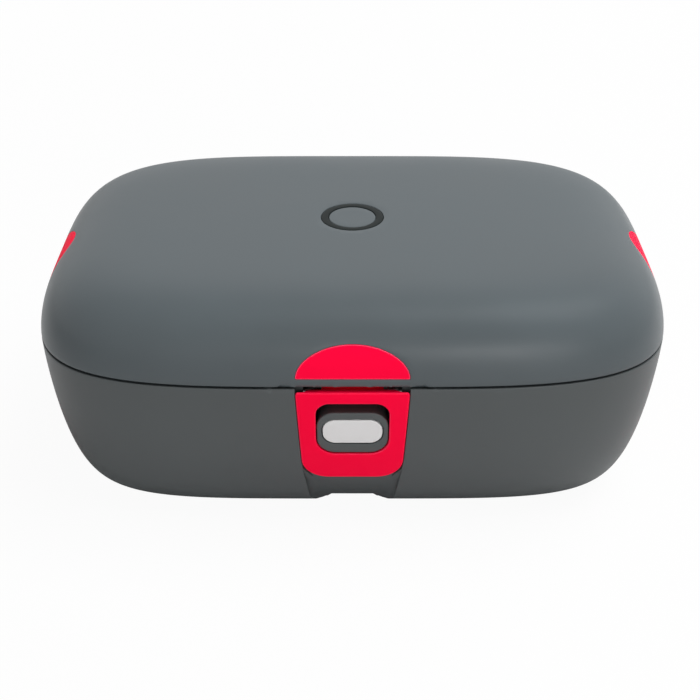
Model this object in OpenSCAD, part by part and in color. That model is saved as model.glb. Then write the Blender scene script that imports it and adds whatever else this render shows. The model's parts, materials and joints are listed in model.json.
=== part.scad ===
// Electric lunch box with a hinged lid, three side latches, a heated well and a removable steel dish.
// Millimetres, +Z up. Origin: bottom centre, on the plane that the feet rest on. The front faces -Y.

/* [Body] */
// Overall width of the body
body_w = 265; // [245:1:290]
// Overall depth of the body without the hinge
body_d = 178; // [166:1:200]
// Overall height
body_h = 108; // [104:1:116]
// Height of the line where lid and base meet
seam_z = 76; // [74:0.5:79]
// Gap between the lid's rim and the base's rim
seam_gap = 0.6; // [0.4:0.1:0.9]
// Thickness of the moulded shells
wall = 2.6; // [2.2:0.1:3]

/* [Dish] */
// Width of the steel dish under its rim
dish_w = 176; // [160:1:180]
// Depth of the steel dish under its rim
dish_d = 116; // [104:1:120]
// Radius of the dish's corners
dish_r = 24; // [18:1:30]

/* [Latches] */
// Width of a latch plate at its top
plate_w = 45; // [40:1:50]
// Width of a latch plate above its rounded bottom
plate_low_w = 41.6; // [38:0.2:44]
// Height of a latch plate
plate_h = 46.6; // [42:0.2:48]
// Thickness of a latch plate
plate_t = 2.8; // [2.2:0.1:3.2]
// Depth of the finger scoop under a latch plate
scoop_t = 3.6; // [3:0.1:4.5]
// Height of the half disc over the front latch
keeper_front_h = 13.7; // [12:0.1:15]
// Height of the half discs over the end latches
keeper_end_h = 20.7; // [13:0.1:22]
// How far the end latches sit in front of the middle
end_latch_shift = 6; // [0:0.5:8]

/* [Buttons] */
// Radius of the dark ring round the power button
ring_r = 13.6; // [12:0.1:15]
// Radius of the power button's cap
cap_r = 10.2; // [9:0.1:10.8]
// Travel of the power button
cap_travel = 0.8; // [0.5:0.1:1]
// Width of the release button in the front latch
pill_w = 24.2; // [20:0.2:25]
// Height of the release button in the front latch
pill_h = 12.6; // [11:0.2:13.2]

/* [Hidden] */
$fn = 48;
eps = 0.01;

// Shape of the shells: how square the plan is, and how the sides turn into top and bottom.
plan_power = 4.0;
lid_power = 4.4;
foot_power = 7.2;
lid_round = 1.8;
lid_fall = 8.5;
lid_in_x = 102.4;
lid_in_y = 74.8;
base_round = 1.39;
base_fall = 8.0;
base_in_x = 73.3;
base_in_y = 87.2;
under_z = 1.6;
top_cut = 0.01;
ring_points = 96;
inner_points = 64;
deck_points = 72;
rim_round = 0.5;
half_w = body_w / 2;
half_d = body_d / 2;
base_rim_z = seam_z - seam_gap / 2;
lid_rim_z = seam_z + seam_gap / 2;
lid_h = body_h - seam_z;
lid_step = lid_h / 32;

function lid_out(z) = 1 - pow(1 - pow(min((z - seam_z) / (body_h - top_cut - seam_z), 1 - 0.0003), lid_round),
    1 / lid_fall);
function base_out(z) = 1 - pow(1 - pow((seam_z - z) / seam_z, base_round), 1 / base_fall);
function half_x(z) = z >= seam_z ? half_w - lid_in_x * lid_out(z) : half_w - base_in_x * base_out(z);
function half_y(z) = z >= seam_z ? half_d - lid_in_y * lid_out(z) : half_d - base_in_y * base_out(z);
function plan_n(z) = z >= seam_z ? plan_power + (lid_power - plan_power) * lid_out(z)
    : plan_power + (foot_power - plan_power) * base_out(z);
function sgn(v) = v < 0 ? -1 : 1;
function plan(hx, hy, n, m) = [for (i = [0:m - 1]) let (a = 360 * (i + 0.5) / m)
    [hx * sgn(cos(a)) * pow(abs(cos(a)), 2 / n), hy * sgn(sin(a)) * pow(abs(sin(a)), 2 / n)]];
function at_z(p, z) = [for (q = p) [q[0], q[1], z]];
function skin(z, inset, zz, m) = at_z(plan(half_x(z) - inset, half_y(z) - inset, plan_n(z), m), zz);
function flat(list) = [for (l = list) for (q = l) q];

// Solid between plan curves stacked upwards; each curve has m points.
module loft(rings, m) {
    k = len(rings);
    bottom = [[for (i = [0:m - 1]) i]];
    top = [[for (i = [m - 1:-1:0]) (k - 1) * m + i]];
    sides = [for (j = [0:k - 2]) for (i = [0:m - 1]) let (n = (i + 1) % m)
        [j * m + i, (j + 1) * m + i, (j + 1) * m + n]];
    sides2 = [for (j = [0:k - 2]) for (i = [0:m - 1]) let (n = (i + 1) % m)
        [j * m + i, (j + 1) * m + n, j * m + n]];
    polyhedron(points = flat(rings), faces = concat(bottom, top, sides, sides2));
}

// Round-cornered rectangle, centred.
module slab_shape(w, d, r) {
    union() {
        square([w, d - 2 * r], center = true);
        square([w - 2 * r, d], center = true);
        for (sx = [-1, 1]) for (sy = [-1, 1]) translate([sx * (w / 2 - r), sy * (d / 2 - r)]) circle(r);
    }
}
module slab(w, d, r, z0, z1) {
    translate([0, 0, z0]) linear_extrude(z1 - z0) slab_shape(w, d, r);
}
module tube_z(r, z0, z1) {
    translate([0, 0, z0]) cylinder(r = r, h = z1 - z0);
}
module rod_x(r, x0, x1) {
    translate([x0, 0, 0]) rotate([0, 90, 0]) cylinder(r = r, h = x1 - x0);
}
module block(x0, x1, y0, y1, z0, z1) {
    translate([x0, y0, z0]) cube([x1 - x0, y1 - y0, z1 - z0]);
}

// Round wire or lead swept along a list of points.
function unit(v) = v / norm(v);
function along(p, i) = let (a = max(i - 1, 0), b = min(i + 1, len(p) - 1)) unit(p[b] - p[a]);
function side_of(t, s) = unit(s - t * (s * t));
function carried(p, i, s) = i >= len(p) ? [] : let (t = along(p, i), u = side_of(t, s))
    concat([u], carried(p, i + 1, u));
module wire(p, r, s0 = [0, 0, 1], m = 6) {
    u = carried(p, 0, s0);
    k = len(p);
    pts = flat([for (i = [0:k - 1]) let (t = along(p, i), v = cross(t, u[i]))
        [for (j = [0:m - 1]) p[i] + r * (cos(360 * j / m) * u[i] + sin(360 * j / m) * v)]]);
    polyhedron(points = pts, faces = concat(
        [[for (j = [0:m - 1]) m - 1 - j]],
        [[for (j = [0:m - 1]) (k - 1) * m + j]],
        [for (i = [0:k - 2]) for (j = [0:m - 1]) let (n = (j + 1) % m)
            [i * m + j, i * m + n, (i + 1) * m + n]],
        [for (i = [0:k - 2]) for (j = [0:m - 1]) let (n = (j + 1) % m)
            [i * m + j, (i + 1) * m + n, (i + 1) * m + j]]));
}
// Rounds the corners of a route with arcs of up to radius r.
function corner(a, b, c, r) = let (u = unit(a - b), w = unit(c - b),
    d = min(r, norm(a - b) * 0.45, norm(c - b) * 0.45), p0 = b + u * d, p1 = b + w * d)
    [for (t = [0:0.25:1]) p0 * (1 - t) * (1 - t) + b * 2 * t * (1 - t) + p1 * t * t];
function route(p, r) = concat([p[0]], flat([for (i = [1:len(p) - 2]) corner(p[i - 1], p[i], p[i + 1], r)]),
    [p[len(p) - 1]]);

// Turns a form made for the front, facing -Y, to the left or right end.
front = 0;
left = -90;
right = 90;
module on(side) {
    translate([0, side == front ? 0 : -end_latch_shift, 0]) rotate([0, 0, side]) children();
}
function reach(side) = side == front ? half_d : half_w;
function face_at(side, z) = side == front ? half_y(z) : half_x(z);

// Band that follows the shell's upright profile between two depths under the surface.
module band(side, d0, d1, w, z0, z1, steps = 10) {
    zs = [for (i = [0:steps]) z0 + (z1 - z0) * i / steps];
    translate([-w / 2, 0, 0]) rotate([90, 0, 90]) linear_extrude(w) polygon(concat(
        [for (z = zs) [-face_at(side, z) + d0, z]],
        [for (i = [steps:-1:0]) [-face_at(side, zs[i]) + d1, zs[i]]]));
}

// Latch geometry, in the front latch's place.
plate_top_z = seam_z - 2;
plate_low_z = plate_top_z - plate_h;
plate_taper_z = plate_low_z + 8;
plate_gap = 0.4;
pocket_w = 39;
pocket_depth = 15;
pocket_wall = 2.2;
pocket_low_z = plate_low_z + 5;
pivot_depth = 6.2;
pivot_z = seam_z - 5.2;
latch_pin_r = 1.5;
latch_pin_half = 21.4;
run_gap = 0.05;
barrel_r = 3;
tongue_w = 24.7;
tongue_front = 6.2;
tongue_back = 9;
hook_front = 4.4;
hook_low_z = seam_z + 7.2 * lid_step;
hook_top_z = seam_z + 9.6 * lid_step;
scoop_low_w = 33;
plate_r = 11;
window_w = 29.4;
window_low_z = seam_z - 34.1;
window_top_z = seam_z - 7.5;
window_top_r = 5.6;
window_low_r = 8;
backing = 2.4;
relief_x = pocket_w / 2 - 0.3;
relief_depth = 1.2;
latch_open = 22;

module plate_shape(grow) {
    hull() {
        translate([-plate_w / 2 - grow, plate_top_z + grow - 2]) square([plate_w + 2 * grow, 2]);
        for (s = [-1, 1]) translate([s * (plate_low_w / 2 - plate_r), plate_low_z + plate_r])
            circle(plate_r + grow);
    }
}
// Opening with wide lower corners, between two heights, smaller all round by inset.
module window_shape(z0, z1, inset) {
    hull() for (s = [-1, 1]) {
        translate([s * (window_w / 2 - window_low_r), z0 + window_low_r - inset])
            circle(window_low_r - inset);
        translate([s * (window_w / 2 - window_top_r), z1 - window_top_r + inset])
            circle(window_top_r - inset);
    }
}
module scoop_shape() {
    top = plate_low_w / 2 + plate_gap;
    polygon([[-scoop_low_w / 2, under_z - 1], [scoop_low_w / 2, under_z - 1],
        [top, plate_low_z + plate_r], [-top, plate_low_z + plate_r]]);
}
// Extrudes a front view (x, z) through the shell's front.
module from_front(side, d0, d1) {
    translate([0, -reach(side) + d1, 0]) rotate([90, 0, 0]) linear_extrude(d1 - d0) children();
}

module latch(side, windowed) {
    r = reach(side);
    difference() {
        union() {
            intersection() {
                band(side, 0, plate_t, plate_w + 2, plate_low_z - 1, plate_top_z + 1, 16);
                from_front(side, -1, 30) plate_shape(0);
            }
            block(-tongue_w / 2, tongue_w / 2, -r + 1.2, -r + pivot_depth, pivot_z - 1.6, plate_top_z - 0.4);
            translate([0, -r + pivot_depth, pivot_z]) rod_x(barrel_r, -tongue_w / 2, tongue_w / 2);
            block(-tongue_w / 2, tongue_w / 2, -r + tongue_front, -r + tongue_back, pivot_z, hook_top_z);
            translate([-tongue_w / 2, 0, 0]) rotate([90, 0, 90]) linear_extrude(tongue_w)
                polygon([[-r + tongue_front + eps, hook_low_z], [-r + hook_front, hook_low_z],
                    [-r + hook_front, hook_low_z + 0.8], [-r + tongue_front + eps, hook_top_z]]);
        }
        translate([0, -r + pivot_depth, pivot_z]) rod_x(latch_pin_r + run_gap, -tongue_w, tongue_w);
        for (s = [0, 1]) mirror([s, 0, 0]) block(relief_x, plate_w, -r + relief_depth, -r + 12,
            pivot_z - 1, plate_top_z + 1);
        if (windowed) from_front(side, -1, 12) window_shape(window_low_z, window_top_z, 0);
    }
}

// Half-disc keeper set into the lid above a latch.
keeper_low_z = seam_z + 4.3 * lid_step;
function keeper_h(side) = (side == front ? keeper_front_h : keeper_end_h) * lid_step;
keeper_w = 44.9;
keeper_t = 1.4;
keeper_gap = 0.1;
catch_w = 24;
catch_low_z = seam_z + 4.7 * lid_step;
catch_top_z = seam_z + 7 * lid_step;
catch_depth = 6;
module keeper_shape(h, grow) {
    half = keeper_w / 2 + grow;
    polygon(concat([[half, keeper_low_z - grow]],
        [for (a = [0:5:180]) [half * cos(a), keeper_low_z + (h + grow) * sin(a)]],
        [[-half, keeper_low_z - grow]]));
}
module keeper(side) {
    h = keeper_h(side);
    union() {
        intersection() {
            band(side, -0.15, keeper_t, keeper_w + 2, keeper_low_z - 1, keeper_low_z + h + 1, 14);
            from_front(side, -1, 30) keeper_shape(h, 0);
        }
        block(-catch_w / 2, catch_w / 2, -reach(side) + 0.9, -reach(side) + catch_depth, catch_low_z,
            catch_top_z);
    }
}
module keeper_cut(side) {
    h = keeper_h(side);
    intersection() {
        band(side, -2, keeper_t + keeper_gap, keeper_w + 4, keeper_low_z - 1, keeper_low_z + h + 1, 14);
        from_front(side, -1, 30) keeper_shape(h, keeper_gap);
    }
    block(-catch_w / 2 - keeper_gap, catch_w / 2 + keeper_gap, -reach(side) - 2,
        -reach(side) + catch_depth + 4, catch_low_z - keeper_gap, catch_top_z + keeper_gap);
}

// Latch pocket in the base: what it takes out, and the walls it needs inside.
module pocket_cut(side) {
    r = reach(side);
    intersection() {
        band(side, -3, plate_t + plate_gap, plate_w + 4, plate_low_z - 4, seam_z + 1);
        from_front(side, -5, 30) union() {
            plate_shape(plate_gap);
            translate([-plate_w / 2 - plate_gap, plate_top_z - 1]) square([plate_w + 2 * plate_gap, 4]);
        }
    }
    block(-pocket_w / 2, pocket_w / 2, -r + 1, -r + pocket_depth, pocket_low_z + 4, seam_z + 1);
    intersection() {
        band(side, -3, scoop_t, plate_w, under_z - 1, plate_low_z + plate_r, 24);
        from_front(side, -5, half_d) scoop_shape();
    }
    translate([0, -r + pivot_depth, pivot_z]) rod_x(latch_pin_r, -latch_pin_half, latch_pin_half);
}
module pocket_walls(side) {
    r = reach(side);
    band(side, -1, scoop_t + backing, plate_w + 2 * plate_gap + 2 * backing, under_z, seam_z + 2, 24);
    block(-pocket_w / 2 - pocket_wall, pocket_w / 2 + pocket_wall, -r, -r + pocket_depth + pocket_wall,
        pocket_low_z + 4 - pocket_wall, seam_z + 2);
}

// Well, deck and heater stack.
tub_gap = 1.2;
tub_wall = 2;
tub_in_w = dish_w + 2 * tub_gap;
tub_in_d = dish_d + 2 * tub_gap;
tub_in_r = dish_r + tub_gap;
deck_top_z = base_rim_z - 0.6;
deck_t = 2.2;
deck_low_z = deck_top_z - deck_t;
floor_low_z = 25.5;
floor_t = 2;
floor_z = floor_low_z + floor_t;
well_w = dish_w - 28;
well_d = dish_d - 30;
well_r = 16;
gasket_t = 0.5;
plate_z0 = floor_z + gasket_t;
heater_t = 2;
heater_z = plate_z0 + heater_t;
shield_low_z = 22.2;
shield_t = 0.8;
pad_z0 = shield_low_z + shield_t;
element_t = 1.2;
element_z0 = plate_z0 - element_t;
boss_x = well_w / 2 - 9;
boss_y = well_d / 2 - 9;
boss_r = 3;
hole_gap = 0.4;
stat_x = -30;
stat_r = 8;
post_x = dish_w / 2 - 6;
post_y = 22;
post_r = 3.4;
screw_r = 1.5;
head_r = 2.8;
head_t = 1.3;
cover_t = 2.4;
cover_top_z = under_z + cover_t;
cover_hw = dish_w / 2 + 5;
cover_hd = dish_d / 2 - 8;
cover_power = 5;
cover_gap = 0.3;
base_floor_z = 6.1;
rib_d = 3.6;
rib_w = 3;

module plan_slab(hw, hd, n, z0, z1, m = 48) {
    translate([0, 0, z0]) linear_extrude(z1 - z0) polygon(plan(hw, hd, n, m));
}
module corners(x, y) {
    for (sx = [-1, 1]) for (sy = [-1, 1]) translate([sx * x, sy * y, 0]) children();
}

// Rear hinge and the lead's way through it.
hinge_out = 5;
hinge_y = half_d + hinge_out;
knuckle_r = 4.2;
knuckle_flat = 3.6;
hinge_pin_r = 1.5;
hinge_x = 45;
knuckle_lid = 9.4;
knuckle_gap = 0.3;
knuckle_base = 7;
hinge_half = knuckle_lid / 2 + knuckle_gap + knuckle_base;
place_y = -(hinge_out + knuckle_r) / 2;
module placed() {
    translate([0, place_y, 0]) children();
}
lead_r = 0.8;
lead_way = 1.6;
lead_x = 8;
lead_arm = 11.5;
lead_rise = 10;
lead_base_z = seam_z - lead_rise;
lead_lid_z = seam_z + 8 * lid_step;
lead_arm_top = 11 * lid_step;
module at_hinge() {
    translate([0, hinge_y, seam_z]) children();
}
module knuckle(x0, x1, up) {
    at_hinge() union() {
        rod_x(knuckle_r, x0, x1);
        if (up) block(x0, x1, -hinge_out - 1.6, 0, 0.6, knuckle_flat);
        if (!up) block(x0, x1, -hinge_out - 1.6, 0, -knuckle_r - 3, -0.6);
    }
}

// Mains inlet at the right end, near the back.
inlet_y = half_d - 45;
inlet_z = 34;
inlet_w = 31;
inlet_h = 27;
inlet_screw_z = 11.7;
inlet_screw_r = 0.9;
inlet_face_x = half_w - 19.5;
inlet_flange = 2;
inlet_body_w = 27.4;
inlet_body_h = 19.6;
inlet_in_x = max(dish_w / 2 + 8.5, inlet_face_x - 16.5);
inlet_gap = 0.4;
module inlet_block(x0, x1, w, h) {
    translate([(x0 + x1) / 2, inlet_y, inlet_z]) cube([x1 - x0, w, h], center = true);
}

base_zs = [2.6, 4, 6, 9, 13, 18, 25, 34, 45, 58, 70];
module base_outer() {
    rings = concat([skin(under_z, 0.6, under_z, ring_points)],
        [for (z = base_zs) skin(z, 0, z, ring_points)],
        [skin(seam_z - 0.01, 0, base_rim_z - rim_round, ring_points),
            skin(seam_z - 0.01, rim_round, base_rim_z, ring_points)]);
    loft(rings, ring_points);
}
module base_cavity() {
    zs = [base_floor_z, 9, 13, 18, 26, 38, 55, seam_z - 1];
    drop = 1.8;
    rings = concat([for (z = zs) skin(z - drop, wall - 0.2, z, inner_points)],
        [skin(seam_z - drop, wall - 0.2, seam_z + 1, inner_points)]);
    loft(rings, inner_points);
}
module base_shell() {
    color([0.3, 0.32, 0.32]) placed() difference() {
        union() {
            difference() {
                base_outer();
                difference() {
                    base_cavity();
                    for (side = [left, front, right]) on(side) pocket_walls(side);
                    inlet_block(inlet_face_x - wall, half_w, inlet_w + 2 * wall, inlet_h + 2 * wall);
                    for (x = [-62, 62]) for (s = [-1, 1]) block(x - rib_w / 2, x + rib_w / 2,
                        s > 0 ? half_d - wall - rib_d : -half_d, s > 0 ? half_d : -half_d + wall + rib_d,
                        30, deck_low_z);
                    for (s = [-1, 1]) block(s > 0 ? half_w - wall - rib_d : -half_w,
                        s > 0 ? half_w : -half_w + wall + rib_d, -42 - rib_w / 2, -42 + rib_w / 2,
                        30, deck_low_z);
                    for (s = [-1, 1]) block(s > 0 ? half_w - wall - rib_d - 3 : -half_w,
                        s > 0 ? half_w : -half_w + wall + rib_d + 3, 52, 52 + rib_w,
                        50, deck_low_z);
                }
            }
            for (x = [-hinge_x, hinge_x]) for (s = [-1, 1])
                knuckle(x + s * (hinge_half - knuckle_base / 2) - knuckle_base / 2,
                    x + s * (hinge_half - knuckle_base / 2) + knuckle_base / 2, false);
            at_hinge() block(-lead_arm, -knuckle_gap / 2, -hinge_out - 1.6, knuckle_flat, -14, 0.3);
            at_hinge() rod_x(knuckle_r, -lead_arm, -knuckle_gap / 2);
        }
        plan_slab(cover_hw + cover_gap, cover_hd + cover_gap, cover_power, under_z - 1, cover_top_z + 0.1);
        plan_slab(cover_hw - 5, cover_hd - 5, cover_power, under_z, base_floor_z + 1);
        for (side = [left, front, right]) on(side) pocket_cut(side);
        inlet_block(inlet_face_x, half_w + 5, inlet_w, inlet_h);
        inlet_block(inlet_face_x - wall - 1, half_w, inlet_body_w + inlet_gap, inlet_body_h + inlet_gap);
        for (s = [-1, 1]) translate([0, inlet_y, inlet_z + s * inlet_screw_z]) rod_x(inlet_screw_r,
            inlet_face_x - wall - 1, inlet_face_x + 1);
        at_hinge() for (x = [-hinge_x, hinge_x]) rod_x(hinge_pin_r, x - hinge_half - 1, x + hinge_half + 1);
        at_hinge() rod_x(lead_way - 0.1, -lead_x - lead_way + 0.3, 1);
        translate([-lead_x, hinge_y, lead_base_z - 1.3]) cylinder(r = lead_way, h = lead_rise + 1.3);
        translate([-lead_x, hinge_y + 1.4, lead_base_z]) rotate([90, 0, 0])
            cylinder(r = lead_way + 0.1, h = 15);
    }
}

module bottom_cover() {
    color([0.28, 0.3, 0.3]) placed() difference() {
        union() {
            plan_slab(cover_hw, cover_hd, cover_power, under_z, cover_top_z);
            for (x = [board_x0 + 4, board_x1 - 4]) for (y = [-board_d / 2 + 4, board_d / 2 - 4])
                translate([x, y, 0]) tube_z(standoff_r, cover_top_z - 0.5, board_z);
        }
        for (x = [board_x0 + 4, board_x1 - 4]) for (y = [-board_d / 2 + 4, board_d / 2 - 4])
            translate([x, y, 0]) tube_z(board_screw_r + 0.02, cover_top_z, board_z + 1);
        corners(post_x, post_y) tube_z(screw_r + 0.1, 0, cover_top_z + 1);
        corners(post_x, post_y) tube_z(head_r + 0.3, 0, under_z + head_t);
        corners(foot_x, foot_y) tube_z(foot_r + 0.1, 0, foot_seat_z);
        corners(foot_x, foot_y) tube_z(foot_stem_r + 0.05, 0, cover_top_z + 1);
        for (i = [-4:4]) translate([-45, i * 5, 0]) slab(44, 1.8, 0.85, 0, cover_top_z + 1);
    }
}

foot_x = dish_w / 2 - 20;
foot_y = dish_d / 2 - 22;
foot_r = 6.5;
foot_seat_z = under_z + 1.1;
foot_stem_r = 2.2;
module rubber_feet() {
    color([0.08, 0.08, 0.08]) placed() corners(foot_x, foot_y) rotate_extrude()
        polygon([[0, 0], [foot_r - 0.8, 0], [foot_r, 0.8], [foot_r, foot_seat_z], [foot_stem_r, foot_seat_z],
            [foot_stem_r, cover_top_z + 0.1], [foot_stem_r + 0.6, cover_top_z + 0.1],
            [foot_stem_r + 0.3, cover_top_z + 1.4], [1, cover_top_z + 2], [0, cover_top_z + 2]]);
}

// Pan-head screw on the Z axis: head between z0 and z0 + head, shank up to z1.
module screw_up(r, hr, ht, z0, z1) {
    difference() {
        rotate_extrude() polygon([[0, z0], [hr - 0.5, z0], [hr, z0 + 0.5], [hr, z0 + ht], [r, z0 + ht],
            [r, z1 - 0.6], [r * 0.5, z1], [0, z1]]);
        translate([0, 0, z0 - 1]) cube([hr * 1.1, 0.7, 1 + ht * 0.6 + 1], center = true);
        translate([0, 0, z0 - 1]) cube([0.7, hr * 1.1, 1 + ht * 0.6 + 1], center = true);
    }
}
module bottom_cover_screws() {
    color([0.6, 0.6, 0.62]) placed() corners(post_x, post_y) screw_up(screw_r, head_r, head_t, under_z, 18);
}

module inner_tub() {
    hw = half_x(deck_low_z) - wall - 0.9;
    hd = half_y(deck_low_z) - wall - 0.9;
    color([0.42, 0.45, 0.45]) placed() difference() {
        union() {
            plan_slab(hw, hd, plan_n(deck_low_z), deck_low_z, deck_top_z, deck_points);
            slab(tub_in_w + 2 * tub_wall, tub_in_d + 2 * tub_wall, tub_in_r + tub_wall, floor_low_z,
                deck_top_z - 0.5);
            corners(post_x, post_y) tube_z(post_r, cover_top_z + 0.1, floor_low_z + 0.5);
        }
        slab(tub_in_w, tub_in_d, tub_in_r, floor_z, deck_top_z + 1);
        slab(well_w, well_d, well_r, floor_low_z - 1, floor_z + 1);
        corners(post_x, post_y) tube_z(screw_r, cover_top_z, 19);
        for (side = [left, front, right]) on(side) block(
            -plate_w / 2 - plate_gap - backing - 0.4, plate_w / 2 + plate_gap + backing + 0.4,
            -reach(side) - 1, -reach(side) + pocket_depth + pocket_wall + 0.4,
            deck_low_z - 1, deck_top_z + 1);
    }
}
module heater_gasket() {
    color([0.75, 0.35, 0.2]) placed() difference() {
        slab(well_w + 7, well_d + 7, well_r + 3.5, floor_z, plate_z0);
        slab(well_w + 1, well_d + 1, well_r + 0.5, floor_z - 1, plate_z0 + 1);
    }
}
module heater_plate() {
    color([0.75, 0.76, 0.78]) placed() difference() {
        union() {
            slab(well_w + 11, well_d + 11, well_r + 5.5, plate_z0, heater_z);
            corners(boss_x, boss_y) tube_z(boss_r, pad_z0, plate_z0 + 0.5);
        }
        corners(boss_x, boss_y) tube_z(shield_screw_r, pad_z0 - 1, plate_z0 + 0.6);
    }
}
shield_screw_r = 1.2;
module lead_holes(z0, z1) {
    for (i = [-1, 1]) translate([i * element_lead_x, i * element_lead_y, 0]) tube_z(lead_hole_r, z0, z1);
}
module stack_holes(z0, z1) {
    corners(boss_x, boss_y) tube_z(boss_r + hole_gap, z0, z1);
    translate([stat_x, 0, 0]) tube_z(stat_r + hole_gap, z0, z1);
}
module heating_element() {
    color([0.62, 0.5, 0.3]) placed() difference() {
        slab(well_w - 5, well_d - 5, well_r - 4, element_z0, plate_z0);
        stack_holes(element_z0 - 1, plate_z0 + 1);
    }
}
module insulation_pad() {
    color([0.9, 0.9, 0.86]) placed() difference() {
        slab(well_w - 4, well_d - 4, well_r - 2, pad_z0, element_z0);
        stack_holes(pad_z0 - 1, element_z0 + 1);
        lead_holes(pad_z0 - 1, element_z0 + 1);
    }
}
module heat_shield() {
    color([0.7, 0.71, 0.72]) placed() difference() {
        union() {
            slab(well_w + 6, well_d + 6, well_r + 3, floor_low_z - shield_t, floor_low_z);
            slab(well_w - 1, well_d - 1, well_r - 0.5, shield_low_z, floor_low_z - 0.1);
        }
        slab(well_w - 1 - 2 * shield_t, well_d - 1 - 2 * shield_t, well_r - 0.5 - shield_t, pad_z0,
            floor_low_z + 1);
        corners(boss_x, boss_y) tube_z(shield_screw_r + 0.3, shield_low_z - 1, pad_z0 + 1);
        lead_holes(shield_low_z - 1, pad_z0 + 1);
        translate([stat_x, 0, 0]) tube_z(stat_r + hole_gap, shield_low_z - 1, pad_z0 + 1);
    }
}
module heat_shield_screws() {
    color([0.6, 0.6, 0.62]) placed() corners(boss_x, boss_y)
        screw_up(shield_screw_r, 2.4, 1.2, shield_low_z - 1.2, plate_z0 - 0.2);
}
module thermostat() {
    color([0.2, 0.2, 0.22]) placed() translate([stat_x, 0, 0]) union() {
        tube_z(stat_r, shield_low_z - 1, plate_z0);
        tube_z(stat_r - 0.8, 15.5, shield_low_z - 0.5);
        block(-14, 14, -4, 4, shield_low_z - 0.8, shield_low_z);
        for (s = [-1, 1]) block(s * 4.6 - 0.4, s * 4.6 + 0.4, -3.1, 3.1, 9.5, 16);
    }
}
fuse_x = 22;
fuse_y = -14;
fuse_z = 19.6;
fuse_r = 2;
module thermal_fuse() {
    color([0.85, 0.82, 0.72]) placed() translate([fuse_x, fuse_y, fuse_z]) union() {
        rod_x(fuse_r, -6, 6);
        rod_x(0.5, -10, 10);
    }
}
module fuse_clip() {
    color([0.7, 0.7, 0.72]) placed() translate([fuse_x, fuse_y, 0]) difference() {
        union() {
            translate([0, 0, fuse_z]) rod_x(fuse_r + 0.6, -2, 2);
            block(-2, 2, -fuse_r - 0.6, fuse_r + 0.6, fuse_z, shield_low_z - 0.05);
            block(-2, 2, -7, 7, shield_low_z - 0.6, shield_low_z);
        }
        translate([0, 0, fuse_z]) rod_x(fuse_r + 0.03, -3, 3);
        block(-3, 3, -fuse_r - 0.03, fuse_r + 0.03, fuse_z, shield_low_z - 0.6);
    }
}

// Control board on the bottom cover.
board_w = 72;
board_x1 = dish_w / 2 - 12;
board_x0 = board_x1 - board_w;
board_d = 50;
board_z = 8.5;
board_t = 1.6;
board_top_z = board_z + board_t;
standoff_r = 2.6;
board_screw_r = 1.1;
module control_board() {
    color([0.1, 0.35, 0.2]) placed() difference() {
        block(board_x0, board_x1, -board_d / 2, board_d / 2, board_z, board_top_z);
        for (x = [board_x0 + 4, board_x1 - 4]) for (y = [-board_d / 2 + 4, board_d / 2 - 4])
            translate([x, y, 0]) tube_z(board_screw_r + 0.2, board_z - 1, board_top_z + 1);
    }
}
module board_relay() {
    color([0.1, 0.2, 0.5]) placed() block(board_x0 + 42, board_x0 + 61, -19, -9,
        board_top_z, board_top_z + 9.8);
}
module board_capacitor() {
    color([0.1, 0.1, 0.12]) placed() translate([board_x0 + 12, 2, 0]) union() {
        tube_z(4, board_top_z, board_top_z + 6.5);
        tube_z(3.4, board_top_z + 6.4, board_top_z + 6.8);
    }
}
module board_transformer() {
    color([0.75, 0.65, 0.2]) placed() translate([board_x0 + 32, 10, 0]) union() {
        block(-8, 8, -7, 7, board_top_z, board_top_z + 2.6);
        block(-6.2, 6.2, -5.4, 5.4, board_top_z + 2.5, board_top_z + 7.6);
        block(-8, 8, -6.4, 6.4, board_top_z + 7.5, board_top_z + 9.2);
    }
}
terminal_w = 12;
terminal_d = 7;
terminal_h = 6;
way_pitch = 3.6;
way_w = 2.6;
way_low = 1.4;
way_h = 3.4;
lead_z = board_top_z + way_low + way_h / 2;
mains_x = board_x1 - 15;
mains_y = 14;
load_x = board_x1 - 8;
load_y = -8;
signal_x = board_x0 + 11;
signal_y = 12;
// Terminal block open towards +X, with its closed back at x = 0.
module terminal() {
    difference() {
        block(0, terminal_d, -terminal_w / 2, terminal_w / 2, board_top_z, board_top_z + terminal_h);
        for (i = [-1:1]) block(1.2, terminal_d + 1, i * way_pitch - way_w / 2, i * way_pitch + way_w / 2,
            board_top_z + way_low, board_top_z + way_low + way_h);
    }
}
module board_connectors() {
    color([0.92, 0.92, 0.88]) placed() union() {
        translate([mains_x, mains_y, 0]) rotate([0, 0, 90]) terminal();
        translate([load_x, load_y, 0]) terminal();
        translate([signal_x, signal_y, 0]) rotate([0, 0, 180]) terminal();
    }
}
module control_board_screws() {
    color([0.6, 0.6, 0.62]) placed() for (x = [board_x0 + 4, board_x1 - 4])
        for (y = [-board_d / 2 + 4, board_d / 2 - 4]) translate([x, y, board_top_z + 1.1])
            mirror([0, 0, 1]) screw_up(board_screw_r, 2.1, 1.1, 0, 6);
}

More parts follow.
